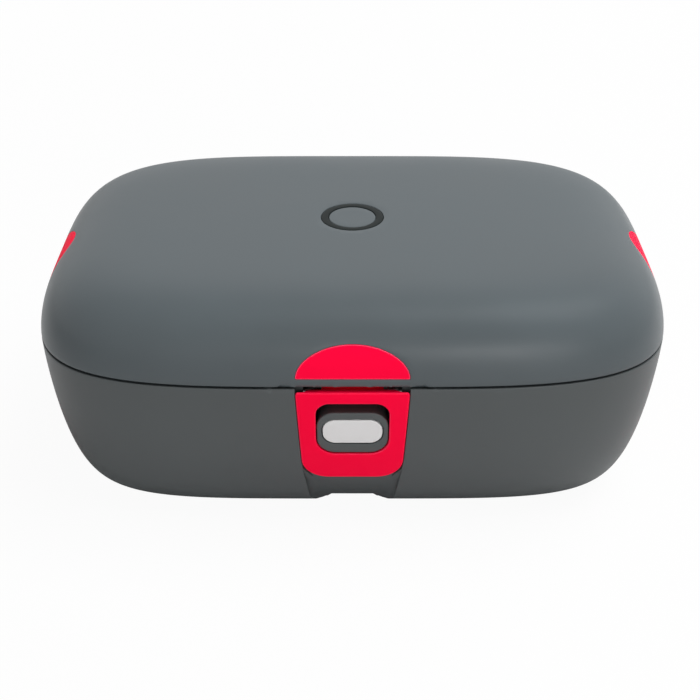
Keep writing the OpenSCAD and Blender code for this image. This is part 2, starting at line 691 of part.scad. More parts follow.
module inlet_socket() {
    color([0.06, 0.06, 0.07]) placed() difference() {
        union() {
            translate([inlet_face_x, inlet_y, inlet_z]) rotate([0, 90, 0])
                linear_extrude(inlet_flange) slab_shape(inlet_h - 0.8, inlet_w - 0.8, 3);
            inlet_block(inlet_in_x, inlet_face_x + 0.5, inlet_body_w, inlet_body_h);
        }
        difference() {
            inlet_block(inlet_in_x + 1.6, inlet_face_x + 5, 24.6, 16.6);
            for (s = [-1, 1]) translate([inlet_in_x, inlet_y + s * 12.3, inlet_z + 8.3]) rotate([45, 0, 0])
                cube([40, 5.4, 5.4], center = true);
        }
        for (s = [-1, 1]) translate([inlet_face_x - 1, inlet_y, inlet_z + s * inlet_screw_z])
            rod_x(inlet_screw_r, 0, 5);
        inlet_pin_holes(0.02);
    }
}
inlet_pin_out = 13;
module inlet_pin_at(i, g) {
    z = inlet_z + (i == 0 ? 2 : -2);
    block(inlet_in_x - 4.6 - g, inlet_in_x + 1.6 + inlet_pin_out, inlet_y + i * 7 - 1 - g,
        inlet_y + i * 7 + 1 + g, z - 2 - g, z + 2 + g);
}
module inlet_pin_holes(g) {
    for (i = [-1:1]) inlet_pin_at(i, g);
}
module inlet_pins() {
    color([0.82, 0.72, 0.4]) placed() inlet_pin_holes(0);
}
module inlet_screws() {
    color([0.6, 0.6, 0.62]) placed() for (s = [-1, 1])
        translate([inlet_face_x + inlet_flange + 0.9, inlet_y, inlet_z + s * inlet_screw_z])
            rotate([0, -90, 0]) screw_up(inlet_screw_r - 0.02, 1.3, 0.9, 0, 5.4);
}

// Leads inside the base, held by the parts at both ends.
module inlet_lead(i) {
    y = inlet_y + i * 7;
    x = inlet_in_x - 2.9;
    z = inlet_z + (i == 0 ? 2 : -2) - 2.1;
    to_x = mains_x - i * way_pitch;
    wire(route([[x, y, z], [x, y, lead_z + 2], [x - 3, y - 1, lead_z],
        [to_x, board_d / 2 + 4 + i * 2, lead_z], [to_x, mains_y + 3, lead_z]], 4), lead_r, [1, 0, 0]);
}
module live_lead() {
    color([0.45, 0.25, 0.12]) placed() inlet_lead(-1);
}
module earth_lead() {
    color([0.3, 0.5, 0.15]) placed() inlet_lead(0);
}
module neutral_lead() {
    color([0.15, 0.3, 0.6]) placed() inlet_lead(1);
}
element_lead_x = 56;
element_lead_y = 4;
lead_hole_r = 1.3;
module heater_leads() {
    fx = fuse_x + 10.2;
    bx = load_x + 3;
    low_z = shield_low_z - 2.6;
    color([0.8, 0.8, 0.78]) placed() {
        wire(route([[fx, fuse_y, fuse_z], [fx + 6, fuse_y + 7, low_z], [fx + 26, -3, low_z],
            [board_x1 + 6, -5, lead_z + 4], [board_x1 + 6, load_y - way_pitch, lead_z],
            [bx, load_y - way_pitch, lead_z]], 4), lead_r);
        wire(route([[fuse_x - 10.2, fuse_y, fuse_z], [fuse_x - 20, fuse_y, 18], [stat_x + 12, -8, 15],
            [stat_x + 9, 0, 12], [stat_x + 5.9, 0, 12]], 3), lead_r);
        wire(route([[stat_x - 5.9, 0, 12], [stat_x - 10, 0, 12], [-element_lead_x, -element_lead_y, 18],
            [-element_lead_x, -element_lead_y, element_z0 - 0.1]], 3), lead_r);
        wire(route([[element_lead_x, element_lead_y, element_z0 - 0.1],
            [element_lead_x, element_lead_y, low_z], [board_x1 - 4, element_lead_y - 1, low_z - 1],
            [board_x1 + 3, -1, lead_z + 2], [board_x1 + 3, load_y + way_pitch, lead_z],
            [bx, load_y + way_pitch, lead_z]], 2.5), lead_r, [1, 0, 0]);
    }
}
module button_lead_base() {
    color([0.15, 0.15, 0.16]) placed() wire(route([[signal_x - 3, signal_y, lead_z],
        [board_x0 - 2, signal_y, lead_z], [-lead_x, board_d / 2 + 9, lead_z],
        [-lead_x, half_d - 21, 22], [-lead_x, half_d - 19, 50], [-lead_x, half_d - 15, lead_base_z],
        [-lead_x, hinge_y, lead_base_z], [-lead_x, hinge_y, seam_z], [-0.1, hinge_y, seam_z]], 1.8), lead_r);
}

dish_t = 0.6;
dish_fillet = 7;
dish_low_z = heater_z + 0.05;
dish_rim_z = base_rim_z + 0.5;
dish_rim = 4.2;
// Profile swept round a rounded rectangle; the profile's x is the distance outside the corner centres.
module swept(w, d, r) {
    for (sx = [0, 1]) for (sy = [0, 1]) mirror([sx, 0, 0]) mirror([0, sy, 0])
        translate([w / 2 - r, d / 2 - r, 0]) rotate_extrude(angle = 90) children();
    for (s = [0, 1]) mirror([s, 0, 0]) translate([w / 2 - r, d / 2 - r, 0]) rotate([90, 0, 0])
        linear_extrude(d - 2 * r) children();
    for (s = [0, 1]) mirror([0, s, 0]) translate([-w / 2 + r, d / 2 - r, 0]) rotate([90, 0, 90])
        linear_extrude(w - 2 * r) children();
}
module dish_profile() {
    r = dish_r;
    difference() {
        union() {
            translate([0, dish_low_z]) square([r - dish_fillet, dish_t]);
            translate([r - dish_fillet, dish_low_z + dish_fillet]) intersection() {
                difference() {
                    circle(dish_fillet);
                    circle(dish_fillet - dish_t);
                }
                translate([0, -dish_fillet]) square(dish_fillet);
            }
            translate([r - dish_t, dish_low_z + dish_fillet])
                square([dish_t, dish_rim_z - dish_low_z - dish_fillet]);
            translate([r - dish_t, dish_rim_z - dish_t]) square([dish_rim, dish_t]);
            translate([r - dish_t + dish_rim - 0.4, dish_rim_z - 0.5]) circle(0.5);
        }
        translate([-1, 0]) square([1, body_h]);
    }
}
module steel_dish() {
    color([0.8, 0.81, 0.83]) placed() union() {
        swept(dish_w, dish_d, dish_r) dish_profile();
        block(-dish_w / 2 + dish_r, dish_w / 2 - dish_r, -dish_d / 2 + dish_r, dish_d / 2 - dish_r,
            dish_low_z, dish_low_z + dish_t);
    }
}

// Housing, push button and spring seen through the front latch's window.
housing_gap = 0.35;
housing_low_z = window_low_z + 0.45;
housing_top_z = window_top_z - 4.4;
housing_front = 0.9;
pill_mid_z = seam_z - 22.1;
pill_r = 5.4;
pill_gap = 0.3;
pill_front = 0.5;
pill_in = 8;
pill_stem_r = 2.4;
spring_wire = 0.35;
spring_seat = 12.6;
module front_y(d) {
    translate([0, -half_d + d, 0]) rotate([-90, 0, 0]) children();
}
module pill_shape(g) {
    slab_shape(pill_w + 2 * g, pill_h + 2 * g, pill_r + g);
}
module button_housing() {
    color([0.3, 0.32, 0.32]) placed() difference() {
        intersection() {
            translate([0, -half_d + pocket_depth - 0.02, 0]) rotate([90, 0, 0])
                linear_extrude(pocket_depth) window_shape(housing_low_z, housing_top_z, housing_gap);
            band(front, housing_front, 40, 60, housing_low_z - 2, housing_top_z + 2);
        }
        front_y(-1) translate([0, -pill_mid_z, 0]) linear_extrude(spring_seat + 1) pill_shape(pill_gap);
        front_y(0) translate([0, -pill_mid_z, 0]) cylinder(r = pill_stem_r + 0.1, h = pocket_depth + 1);
    }
}
module release_button() {
    color([0.82, 0.82, 0.82]) placed() union() {
        intersection() {
            front_y(-1) translate([0, -pill_mid_z, 0]) linear_extrude(pill_in + 1) pill_shape(0);
            band(front, pill_front, 40, 60, pill_mid_z - pill_h, pill_mid_z + pill_h);
        }
        front_y(pill_in - 0.5) translate([0, -pill_mid_z, 0]) cylinder(r = pill_stem_r, h = 4.4);
    }
}

// Coil made of a round wire: turns, pitch and radius about an axis, with legs at both ends.
coil_steps = 12;
function helix(r, turns, pitch, a0) = [for (i = [0:turns * coil_steps]) let (a = a0 + 360 * i / coil_steps)
    [r * cos(a), r * sin(a), pitch * i / coil_steps]];
release_turns = 3.5;
release_coil_r = 3.7;
release_pitch = (spring_seat - pill_in - 2 * spring_wire - 0.1) / release_turns;
module release_spring() {
    color([0.7, 0.7, 0.72]) placed() front_y(pill_in + spring_wire + 0.05) translate([0, -pill_mid_z, 0])
        wire(helix(release_coil_r, release_turns, release_pitch, 0), spring_wire, [1, 0, 0]);
}
latch_turns = 4;
latch_coil_r = 2.3;
latch_pitch = 1.15;
latch_coil_x = 13.4;
module latch_spring(side) {
    r = reach(side);
    c = [latch_coil_x, -r + pivot_depth, pivot_z];
    turns = [for (p = helix(latch_coil_r, latch_turns, latch_pitch, 0)) c + [p[2], p[0], -p[1]]];
    push = [c + [-2.6, 3.2, 3.1], c + [-0.3, 3.2, 3.1], c + [0, 2.5, 1.5]];
    rest = [c + [latch_turns * latch_pitch, 2.5, -1.5],
        c + [latch_turns * latch_pitch + 0.1, pocket_depth - pivot_depth - 1, -7],
        c + [latch_turns * latch_pitch + 0.1, pocket_depth - pivot_depth - 0.4, -9]];
    color([0.7, 0.7, 0.72]) wire(concat(push, turns, rest), spring_wire);
}
module front_latch_spring() {
    placed() latch_spring(front);
}
module left_latch_spring() {
    placed() on(left) latch_spring(left);
}
module right_latch_spring() {
    placed() on(right) latch_spring(right);
}
module front_latch() {
    color([1, 0.05, 0.26]) placed() latch(front, true);
}
module left_latch() {
    color([1, 0.05, 0.26]) placed() on(left) latch(left, false);
}
module right_latch() {
    color([1, 0.05, 0.26]) placed() on(right) latch(right, false);
}
module latch_pins() {
    color([0.75, 0.75, 0.77]) placed() for (side = [left, front, right]) on(side)
        translate([0, -reach(side) + pivot_depth, pivot_z])
        rod_x(latch_pin_r, -latch_pin_half, latch_pin_half);
}
module hinge_pins() {
    color([0.75, 0.75, 0.77]) placed() at_hinge() for (x = [-hinge_x, hinge_x])
        rod_x(hinge_pin_r, x - hinge_half, x + hinge_half);
}

// Lid.
lid_hs = [6, 11, 15.5, 19.5, 23, 25.8, 28, 29.6, 30.7, 31.4, 31.8];
lid_inner_z = body_h - 2.8;
ring_gap = 0.1;
lid_boss_x = 98;
lid_boss_y = 58;
lid_boss_r = 3.4;
liner_z = seam_z + 4 * lid_step;
liner_t = 2;
liner_top_z = liner_z + liner_t;
post_bx = 16;
post_by = 11;
post_br = 2.6;
bboard_z = seam_z + 16.4 * lid_step;
bboard_t = 1.6;
bboard_top_z = bboard_z + bboard_t;
bscrew_r = 1;
module lid_outer() {
    rings = concat([skin(seam_z, rim_round, lid_rim_z, ring_points),
            skin(seam_z + 0.5, 0, lid_rim_z + rim_round, ring_points)],
        [for (h = lid_hs) skin(seam_z + h * lid_step, 0, seam_z + h * lid_step, ring_points)],
        [skin(body_h, 0, body_h, ring_points)]);
    loft(rings, ring_points);
}
module lid_cavity() {
    top = lid_inner_z;
    span = top - seam_z;
    zs = [for (f = [0.2, 0.38, 0.55, 0.7, 0.82, 0.92, 1]) seam_z + span * f];
    rise = 2;
    rings = concat([skin(seam_z, wall, seam_z - 1, inner_points)],
        [for (z = zs) skin(z + rise, wall - 0.4, z, inner_points)]);
    loft(rings, inner_points);
}
module lid_shell() {
    color([0.45, 0.48, 0.48]) placed() difference() {
        union() {
            difference() {
                lid_outer();
                difference() {
                    lid_cavity();
                    corners(lid_boss_x, lid_boss_y) tube_z(lid_boss_r, liner_top_z + 0.05, body_h);
                    corners(post_bx, post_by) tube_z(post_br, bboard_top_z + 0.02, body_h);
                }
            }
            for (x = [-hinge_x, hinge_x]) knuckle(x - knuckle_lid / 2, x + knuckle_lid / 2, true);
            at_hinge() block(knuckle_gap / 2, lead_arm, -hinge_out - 1.8, knuckle_flat, 0.5, lead_arm_top);
            at_hinge() rod_x(knuckle_r, knuckle_gap / 2, lead_arm);
        }
        for (side = [left, front, right]) on(side) keeper_cut(side);
        tube_z(ring_r + ring_gap, lid_inner_z - 2, body_h + 2);
        corners(lid_boss_x, lid_boss_y) tube_z(board_screw_r, liner_top_z - 1, liner_top_z + 9);
        corners(post_bx, post_by) tube_z(bscrew_r, bboard_z, bboard_top_z + 6);
        at_hinge() for (x = [-hinge_x, hinge_x])
            rod_x(hinge_pin_r + run_gap, x - knuckle_lid, x + knuckle_lid);
        at_hinge() rod_x(lead_way - 0.1, -1, lead_x + lead_way - 0.3);
        translate([lead_x, hinge_y, seam_z]) cylinder(r = lead_way, h = lead_lid_z - seam_z + 1.3);
        translate([lead_x, hinge_y + 1.4, lead_lid_z]) rotate([90, 0, 0])
            cylinder(r = lead_way + 0.1, h = 15);
    }
}
module front_keeper() {
    color([1, 0.05, 0.26]) placed() keeper(front);
}
module left_keeper() {
    color([1, 0.05, 0.26]) placed() on(left) keeper(left);
}
module right_keeper() {
    color([1, 0.05, 0.26]) placed() on(right) keeper(right);
}
module lid_liner() {
    hw = half_x(liner_z) - wall - 0.7;
    hd = half_y(liner_z) - wall - 0.7;
    color([0.8, 0.8, 0.78]) placed() difference() {
        plan_slab(hw, hd, plan_n(liner_z), liner_z, liner_top_z, deck_points);
        for (side = [left, front, right]) on(side) block(-tongue_w / 2 - 3, tongue_w / 2 + 3,
            -reach(side) - 1, -reach(side) + 20, liner_z - 1, liner_top_z + 1);
        corners(lid_boss_x, lid_boss_y) tube_z(board_screw_r + 0.2, liner_z - 1, liner_top_z + 1);
    }
}
module lid_liner_screws() {
    color([0.6, 0.6, 0.62]) placed() corners(lid_boss_x, lid_boss_y)
        screw_up(board_screw_r, 2.4, 1.2, liner_z - 1.2, liner_top_z + 8);
}
module lid_insulation() {
    color([0.88, 0.86, 0.78]) placed() slab(dish_w, dish_d, dish_r, liner_top_z + 0.05,
        bboard_z - 3.4 * lid_step);
}
seal_w = 5;
module lid_seal() {
    w = dish_w + 7;
    d = dish_d + 7;
    r = dish_r + 3.5;
    color([0.85, 0.85, 0.85]) placed() swept(w, d, r) polygon([[r - seal_w, liner_z], [r, liner_z],
        [r, dish_rim_z + 1.2], [r - 0.8, dish_rim_z + 0.3], [r - seal_w + 1.4, dish_rim_z + 0.3],
        [r - seal_w, dish_rim_z + 1.4]]);
}
ring_top_z = body_h - 0.1;
ring_low_z = lid_inner_z - 2;
cap_gap = 0.15;
cap_top_z = body_h - 0.2;
module indicator_ring() {
    color([0.07, 0.08, 0.08]) placed() rotate_extrude() polygon([[cap_r + cap_gap, ring_low_z],
        [ring_r + 1.8, ring_low_z], [ring_r + 1.8, lid_inner_z - 0.05], [ring_r, lid_inner_z - 0.05],
        [ring_r, ring_top_z - 0.4], [ring_r - 0.4, ring_top_z], [cap_r + cap_gap + 0.4, ring_top_z],
        [cap_r + cap_gap, ring_top_z - 0.4]]);
}
plunger_top_z = bboard_top_z + 4.6;
module power_button() {
    color([0.45, 0.48, 0.48]) placed() rotate_extrude() polygon([[0, cap_top_z], [cap_r - 0.6, cap_top_z],
        [cap_r, cap_top_z - 0.6], [cap_r, ring_low_z - 0.2], [cap_r + 1.6, ring_low_z - 0.2],
        [cap_r + 1.6, ring_low_z - 1.2], [cap_r - 1.4, ring_low_z - 1.2], [cap_r - 1.4, cap_top_z - 2],
        [2, cap_top_z - 2], [2, plunger_top_z], [0, plunger_top_z]]);
}
module button_board() {
    color([0.1, 0.35, 0.2]) placed() difference() {
        block(-20, 20, -15, 15, bboard_z, bboard_top_z);
        corners(post_bx, post_by) tube_z(bscrew_r + 0.2, bboard_z - 1, bboard_top_z + 1);
    }
}
module button_board_screws() {
    color([0.6, 0.6, 0.62]) placed() corners(post_bx, post_by)
        screw_up(bscrew_r, 2, 1, bboard_z - 1, bboard_top_z + 5);
}
module tact_switch() {
    color([0.12, 0.12, 0.13]) placed() difference() {
        block(-3, 3, -3, 3, bboard_top_z, bboard_top_z + 3.4);
        tube_z(1.75, bboard_top_z + 1.2, bboard_top_z + 5);
    }
}
module switch_plunger() {
    color([0.85, 0.83, 0.75]) placed() tube_z(1.7, bboard_top_z + 2.2, plunger_top_z);
}
module indicator_leds() {
    color([0.9, 0.9, 0.85]) placed() for (a = [45:90:315]) rotate([0, 0, a]) translate([11.2, 0, 0])
        block(-1, 1, -1.6, 1.6, bboard_top_z, bboard_top_z + 1.1);
}
module button_lead_lid() {
    color([0.15, 0.15, 0.16]) placed() wire(route([[lead_x, 12, bboard_top_z + 0.9],
        [lead_x, 24, bboard_top_z + 0.9], [lead_x, 40, bboard_z - 1.4], [lead_x, half_d - 19, bboard_z - 2],
        [lead_x, half_d - 11, lead_lid_z], [lead_x, hinge_y, lead_lid_z], [lead_x, hinge_y, seam_z],
        [0.1, hinge_y, seam_z]], 1.8), lead_r);
}

echo(latch_spring_gap = latch_pitch - 2 * spring_wire, release_spring_gap = release_pitch - 2 * spring_wire);

base_shell();
bottom_cover();
rubber_feet();
bottom_cover_screws();
inner_tub();
heater_gasket();
heater_plate();
heating_element();
insulation_pad();
heat_shield();
heat_shield_screws();
thermostat();
thermal_fuse();
fuse_clip();
control_board();
board_relay();
board_capacitor();
board_transformer();
board_connectors();
control_board_screws();
inlet_socket();
inlet_pins();
inlet_screws();
live_lead();
earth_lead();
neutral_lead();
heater_leads();
button_lead_base();
steel_dish();
button_housing();
release_button();
release_spring();
front_latch();
left_latch();
right_latch();
latch_pins();
front_latch_spring();
left_latch_spring();
right_latch_spring();
hinge_pins();
lid_shell();
front_keeper();
left_keeper();
right_keeper();
lid_liner();
lid_liner_screws();
lid_insulation();
lid_seal();
power_button();
indicator_ring();
button_board();
button_board_screws();
tact_switch();
switch_plunger();
indicator_leds();
button_lead_lid();
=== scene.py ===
# %% [markdown]
# # Electric lunch box
# This script dresses a portable lunch box that warms its own steel dish. The box has two moulded
# shells that meet at a seam, red latches on three sides, and a round power button in the lid.
# Everything is made in millimetres from a few curves and turned into metres at the very end.

# %% Load the frame that all pieces sit in
import json
import math
import bpy
import bmesh
import numpy as np
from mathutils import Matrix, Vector
from mathutils.geometry import delaunay_2d_cdt


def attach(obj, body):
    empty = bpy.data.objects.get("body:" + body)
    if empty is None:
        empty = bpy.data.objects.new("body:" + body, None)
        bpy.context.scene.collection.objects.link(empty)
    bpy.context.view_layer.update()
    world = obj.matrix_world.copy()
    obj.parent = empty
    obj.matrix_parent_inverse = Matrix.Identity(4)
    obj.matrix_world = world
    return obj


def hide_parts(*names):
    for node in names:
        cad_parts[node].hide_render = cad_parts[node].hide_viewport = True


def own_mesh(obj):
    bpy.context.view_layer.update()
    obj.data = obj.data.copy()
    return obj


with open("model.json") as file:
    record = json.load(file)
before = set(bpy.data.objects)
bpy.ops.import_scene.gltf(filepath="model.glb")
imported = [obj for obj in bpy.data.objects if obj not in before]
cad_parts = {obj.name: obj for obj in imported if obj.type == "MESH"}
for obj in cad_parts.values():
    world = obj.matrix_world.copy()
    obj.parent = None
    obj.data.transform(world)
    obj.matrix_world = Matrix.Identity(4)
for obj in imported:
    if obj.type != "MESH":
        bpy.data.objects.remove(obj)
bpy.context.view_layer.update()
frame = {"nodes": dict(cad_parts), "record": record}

MM = 0.001
PLACE_Y = -4.6

# %% [markdown]
# ## Sizes that the pieces share
# The shells are superellipses: rounder than a rectangle, squarer than an ellipse. A number t says
# how far the side has curled in, 0 at the seam and towards 1 at the middle of the top or underside.
# Keeping the same formula for every piece makes the latches and keepers sit flush in the shells.

# %% Named sizes in millimetres
HALF_W = 132.5
HALF_D = 89.0
TOP_Z = 108.0
SEAM_Z = 76.0
BASE_RIM_Z = 75.7
LID_RIM_Z = 76.3
LID_SKIN_Z = TOP_Z - 0.01
LID_END_CURL = 0.5871
UNDER_Z = 1.6
WALL = 2.6
FOOT_ROUND = 0.8
LID = {"in_x": 102.4, "in_y": 74.8, "power": 0.4, "round": 1.8, "fall": 8.5, "height": TOP_Z - SEAM_Z,
       "rim_round": 1.25}
BASE = {"in_x": 73.3, "in_y": 87.2, "power": 3.2, "round": 1.39, "fall": 8.0, "height": -SEAM_Z,
        "rim_round": 0.3}
SEAM_POWER = 4.0
ROW_SAMPLES = 4000
ROW_STEP = 1.3
EDGE_STEPS = 4
PLATE_TOP_Z = 74.0
PLATE_LOW_Z = 27.4
PLATE_HALF = 22.5
PLATE_LOW_HALF = 20.8
PLATE_CORNER = 11.0
PLATE_T = 2.8
PLATE_GAP = 0.4
PLATE_JOIN_Z = PLATE_LOW_Z + PLATE_CORNER
PLATE_STRAIGHT = 2
RECESS_GROW = 0.2
RECESS_T = PLATE_T + PLATE_GAP
SCOOP_LOW_HALF = 16.5
SCOOP_T = 3.6
SCOOP_CURVE = 6.5
SCOOP_BEND_Z = 11.0
SCOOP_BEND = 4.0
SCOOP_SOFT_Z = 24.0
SCOOP_CRISP_Z = 33.0
POCKET_HALF = 19.5
POCKET_DEPTH = 15.0
POCKET_LOW_Z = 36.4
PIVOT_DEPTH = 6.2
PIVOT_Z = 70.8
KEEPER_LOW_Z = 80.3
KEEPER_H = {"front": 13.7, "left": 20.7, "right": 20.7}
KEEPER_HALF = 22.45
KEEPER_T = 1.4
KEEPER_GAP = 0.1
RING_R = 13.6
CAP_R = 10.2
HINGE_Y = 94.0
HINGE_X = 45.0
KNUCKLE_R = 4.2
INLET_Y = 44.0
INLET_Z = 34.0
INLET_W = 31.0
INLET_H = 27.0
INLET_FACE_X = 113.0
INLET_WALL = 2.2
COVER_HW = 93.0
COVER_HD = 50.0
COVER_POWER = 5.0
COVER_GAP = 0.3
SIDES = {"front": HALF_D, "left": HALF_W, "right": HALF_W}
MIDDLE = {"front": 0.0, "left": 6.0, "right": -6.0}
print("pieces follow a box", 2 * HALF_W, "by", 2 * HALF_D, "by", TOP_Z, "mm")

# %% [markdown]
# ## Walking over a shell's surface
# A moulded shell is easiest to draw on when every point has an address. Here the address is a side
# of the box, a distance u across that side, a height v measured along the curved side, and a depth
# under the skin. The helpers turn such an address into a place in space.

# %% The shells' profile and the way from an address to a place
def halves(form, t):
    """Half width, half depth and power of the plan curve at curl t."""
    return HALF_W - form["in_x"] * t, HALF_D - form["in_y"] * t, SEAM_POWER + form["power"] * t


def height_at(form, t):
    s = (1 - (1 - t) ** form["fall"]) ** (1 / form["round"])
    return SEAM_Z + form["height"] * s


def curl_at(form, z):
    s = np.clip((z - SEAM_Z) / form["height"], 0, 1)
    return 1 - (1 - s ** form["round"]) ** (1 / form["fall"])


def make_rows(form, rim_z, end_t, end_round):
    """Rows up a shell's side: curl, height, inset of the rounded edges, and the running length v."""
    rim_round = form["rim_round"]
    t = np.linspace(curl_at(form, rim_z + np.sign(form["height"]) * rim_round), end_t, ROW_SAMPLES)
    z = height_at(form, t)
    length = np.concatenate([[0], np.cumsum(np.hypot(np.diff(z), np.diff(halves(form, t)[1])))])
    marks = np.linspace(0, length[-1], int(length[-1] / ROW_STEP) + 1)
    t_rows = np.interp(marks, length, t)
    z_rows = np.interp(marks, length, z)
    turn = np.linspace(math.pi / 2, 0, EDGE_STEPS + 1)[:-1]
    lift = np.sign(form["height"])
    z_rim = rim_z + lift * rim_round * (1 - np.sin(turn))
    rows = {
        "t": np.concatenate([np.full(EDGE_STEPS, t_rows[0]), t_rows]),
        "z": np.concatenate([z_rim, z_rows]),
        "inset": np.concatenate([rim_round * (1 - np.cos(turn)), np.zeros(len(t_rows))]),
    }
    if end_round:
        curve = np.linspace(0, math.pi / 2, EDGE_STEPS + 1)[1:]
        rows["t"] = np.concatenate([rows["t"], np.full(EDGE_STEPS, end_t)])
        rows["z"] = np.concatenate([rows["z"], z_rows[-1] + lift * end_round * np.sin(curve)])
        rows["inset"] = np.concatenate([rows["inset"], end_round * (1 - np.cos(curve))])
    flat = np.hypot(np.diff(rows["z"]), np.diff(halves(form, rows["t"])[1] - rows["inset"]))
    rows["v"] = np.concatenate([[0], np.cumsum(flat)])
    rows["form"] = form
    return rows


def v_of(rows, z):
    order = np.argsort(rows["z"])
    return np.interp(z, rows["z"][order], rows["v"][order])


def z_of(rows, v):
    return np.interp(v, rows["v"], rows["z"])


def reach(rows, side, u, v, depth):
    """Distance of a point of the skin from the box's middle plane, less its depth."""
    t = np.interp(v, rows["v"], rows["t"])
    inset = np.interp(v, rows["v"], rows["inset"])
    hx, hy, n = halves(rows["form"], t)
    main = hy if side == "front" else hx
    other = hx if side == "front" else hy
    return main * (1 - (np.abs(u) / other) ** n) ** (1 / n) - np.maximum(inset, depth)


def put(side, u, r, z):
    """Place of a point at distance u across a side and r out from the middle."""
    u, r, z = np.broadcast_arrays(u, r, z)
    if side == "front":
        return np.stack([u, -r, z], axis=-1)
    if side == "left":
        return np.stack([-r, -u, z], axis=-1)
    return np.stack([r, u, z], axis=-1)


def sunk(side, flat, depth):
    """Points (u, z) on a flat plane at a depth behind the side's frontmost line."""
    return put(side, flat[:, 0], SIDES[side] - depth, flat[:, 1])


def on_side(rows, side, uv, depth=0.0):
    uv = np.asarray(uv, float)
    u = uv[..., 0]
    v = uv[..., 1]
    return put(side, u, reach(rows, side, u, v, depth), z_of(rows, v))


BASE_ROWS = make_rows(BASE, BASE_RIM_Z, curl_at(BASE, UNDER_Z + FOOT_ROUND), FOOT_ROUND)
LID_ROWS = make_rows(LID, LID_RIM_Z, LID_END_CURL, 0.0)
LID_ROWS["z"] = np.minimum(LID_ROWS["z"], LID_SKIN_Z)
print("rows in base and lid:", len(BASE_ROWS["v"]), len(LID_ROWS["v"]))

# %% [markdown]
# ## Gathering points and faces
# A piece is built from several patches. A small collector keeps their points and faces, and the
# patches are sewn together afterwards wherever their edge points coincide. Flat or curved regions
# with holes are filled by a constrained triangulation, which keeps every outline exactly.

# %% Collector for points and faces, and the filling of flat regions
BATCH = 4000
SLIVER_AREA = 2e-3
CDT_EPSILON = 1e-5
INNER_ROW = 0.87
INNER_CLEAR = 0.6


class Surface:
    def __init__(self):
        self.points = []
        self.faces = []
        self.count = 0

    def add(self, points, faces):
        points = np.asarray(points, float).reshape(-1, 3)
        self.points.append(points)
        self.faces.extend([tuple(int(i) + self.count for i in f) for f in faces])
        self.count += len(points)

    def grid(self, rows, closed=False):
        """Quads between rows of points that all have the same count."""
        points = np.array(rows)
        m, n = points.shape[:2]
        faces = []
        for i in range(m - 1):
            for j in range(n if closed else n - 1):
                k = (j + 1) % n
                faces.append((i * n + j, i * n + k, (i + 1) * n + k, (i + 1) * n + j))
        self.add(points, faces)

    def tube(self, rings):
        """Quads between closed rings of points."""
        self.grid(rings, closed=True)

    def patch(self, loops, spacing, place):
        """Fills the region between flat loops; place turns its flat points into places in space."""
        flat, tris = fill(loops, spacing)
        self.add(place(flat), tris)


def inside(points, loops):
    """Even-odd test of points against closed loops."""
    hit = np.zeros(len(points), bool)
    for loop in loops:
        a = loop
        b = np.roll(loop, -1, axis=0)
        for start in range(0, len(points), BATCH):
            p = points[start:start + BATCH]
            above = (a[None, :, 1] > p[:, None, 1]) != (b[None, :, 1] > p[:, None, 1])
            rise = np.where(above, b[None, :, 1] - a[None, :, 1], 1)
            cross = a[None, :, 0] + (p[:, None, 1] - a[None, :, 1]) * (b[None, :, 0] - a[None, :, 0]) / rise
            hit[start:start + BATCH] ^= (above & (p[:, None, 0] < cross)).sum(axis=1) % 2 == 1
    return hit


def drop_slivers(flat, tris, bound):
    """Leaves out slivers along a straight stretch of a loop, whose outer edge no triangle shares."""
    while True:
        sides = [[tuple(sorted((int(t[i - 1]), int(t[i])))) for i in range(3)] for t in tris]
        uses = {}
        for side in [one for three in sides for one in three]:
            uses[side] = uses.get(side, 0) + 1
        a, b, c = (flat[tris[:, i]] for i in range(3))
        area = np.abs((b - a)[:, 0] * (c - a)[:, 1] - (b - a)[:, 1] * (c - a)[:, 0])
        loose = [any(uses[side] == 1 and side not in bound for side in three) for three in sides]
        spare = np.array(loose) & (area < SLIVER_AREA)
        if not spare.any():
            return tris
        tris = tris[~spare]


def fill(loops, spacing):
    """Triangulates the region between closed loops; with a spacing it gets inner points as well."""
    loops = [np.asarray(loop, float) for loop in loops]
    points = []
    edges = []
    for loop in loops:
        first = len(points)
        points.extend(loop.tolist())
        edges.extend([(first + i, first + (i + 1) % len(loop)) for i in range(len(loop))])
    if spacing:
        every = np.array(points)
        low = every.min(axis=0)
        high = every.max(axis=0)
        xs = np.arange(low[0] + spacing / 2, high[0], spacing)
        ys = np.arange(low[1] + spacing / 2, high[1], spacing * INNER_ROW)
        inner = np.array([(x + (j % 2) * spacing / 2, y) for j, y in enumerate(ys) for x in xs])
        if len(inner):
            inner = inner[inside(inner, loops)]
        if len(inner):
            near = np.array([np.min(np.hypot(*(every - p).T)) for p in inner])
            points.extend(inner[near > spacing * INNER_CLEAR].tolist())
    out = delaunay_2d_cdt([Vector(p) for p in points], edges, [], 0, CDT_EPSILON)
    flat = np.array([tuple(p) for p in out[0]])
    tris = np.array(list(out[2]))
    tris = tris[inside(flat[tris].mean(axis=1), loops)]
    bound = {tuple(sorted(e)) for e, made_from in zip(out[1], out[4]) if made_from}
    return flat, drop_slivers(flat, tris, bound)


print("a square of 4 mm fills with", len(fill([[(0, 0), (4, 0), (4, 4), (0, 4)]], 1.0)[1]), "triangles")


# %% Outlines and rounded edges
def between(a, b, step=1.6):
    """Points from a towards b, without b."""
    a = np.asarray(a, float)
    b = np.asarray(b, float)
    n = max(1, int(round(np.linalg.norm(b - a) / step)))
    return a + (b - a) * (np.arange(n) / n)[:, None]


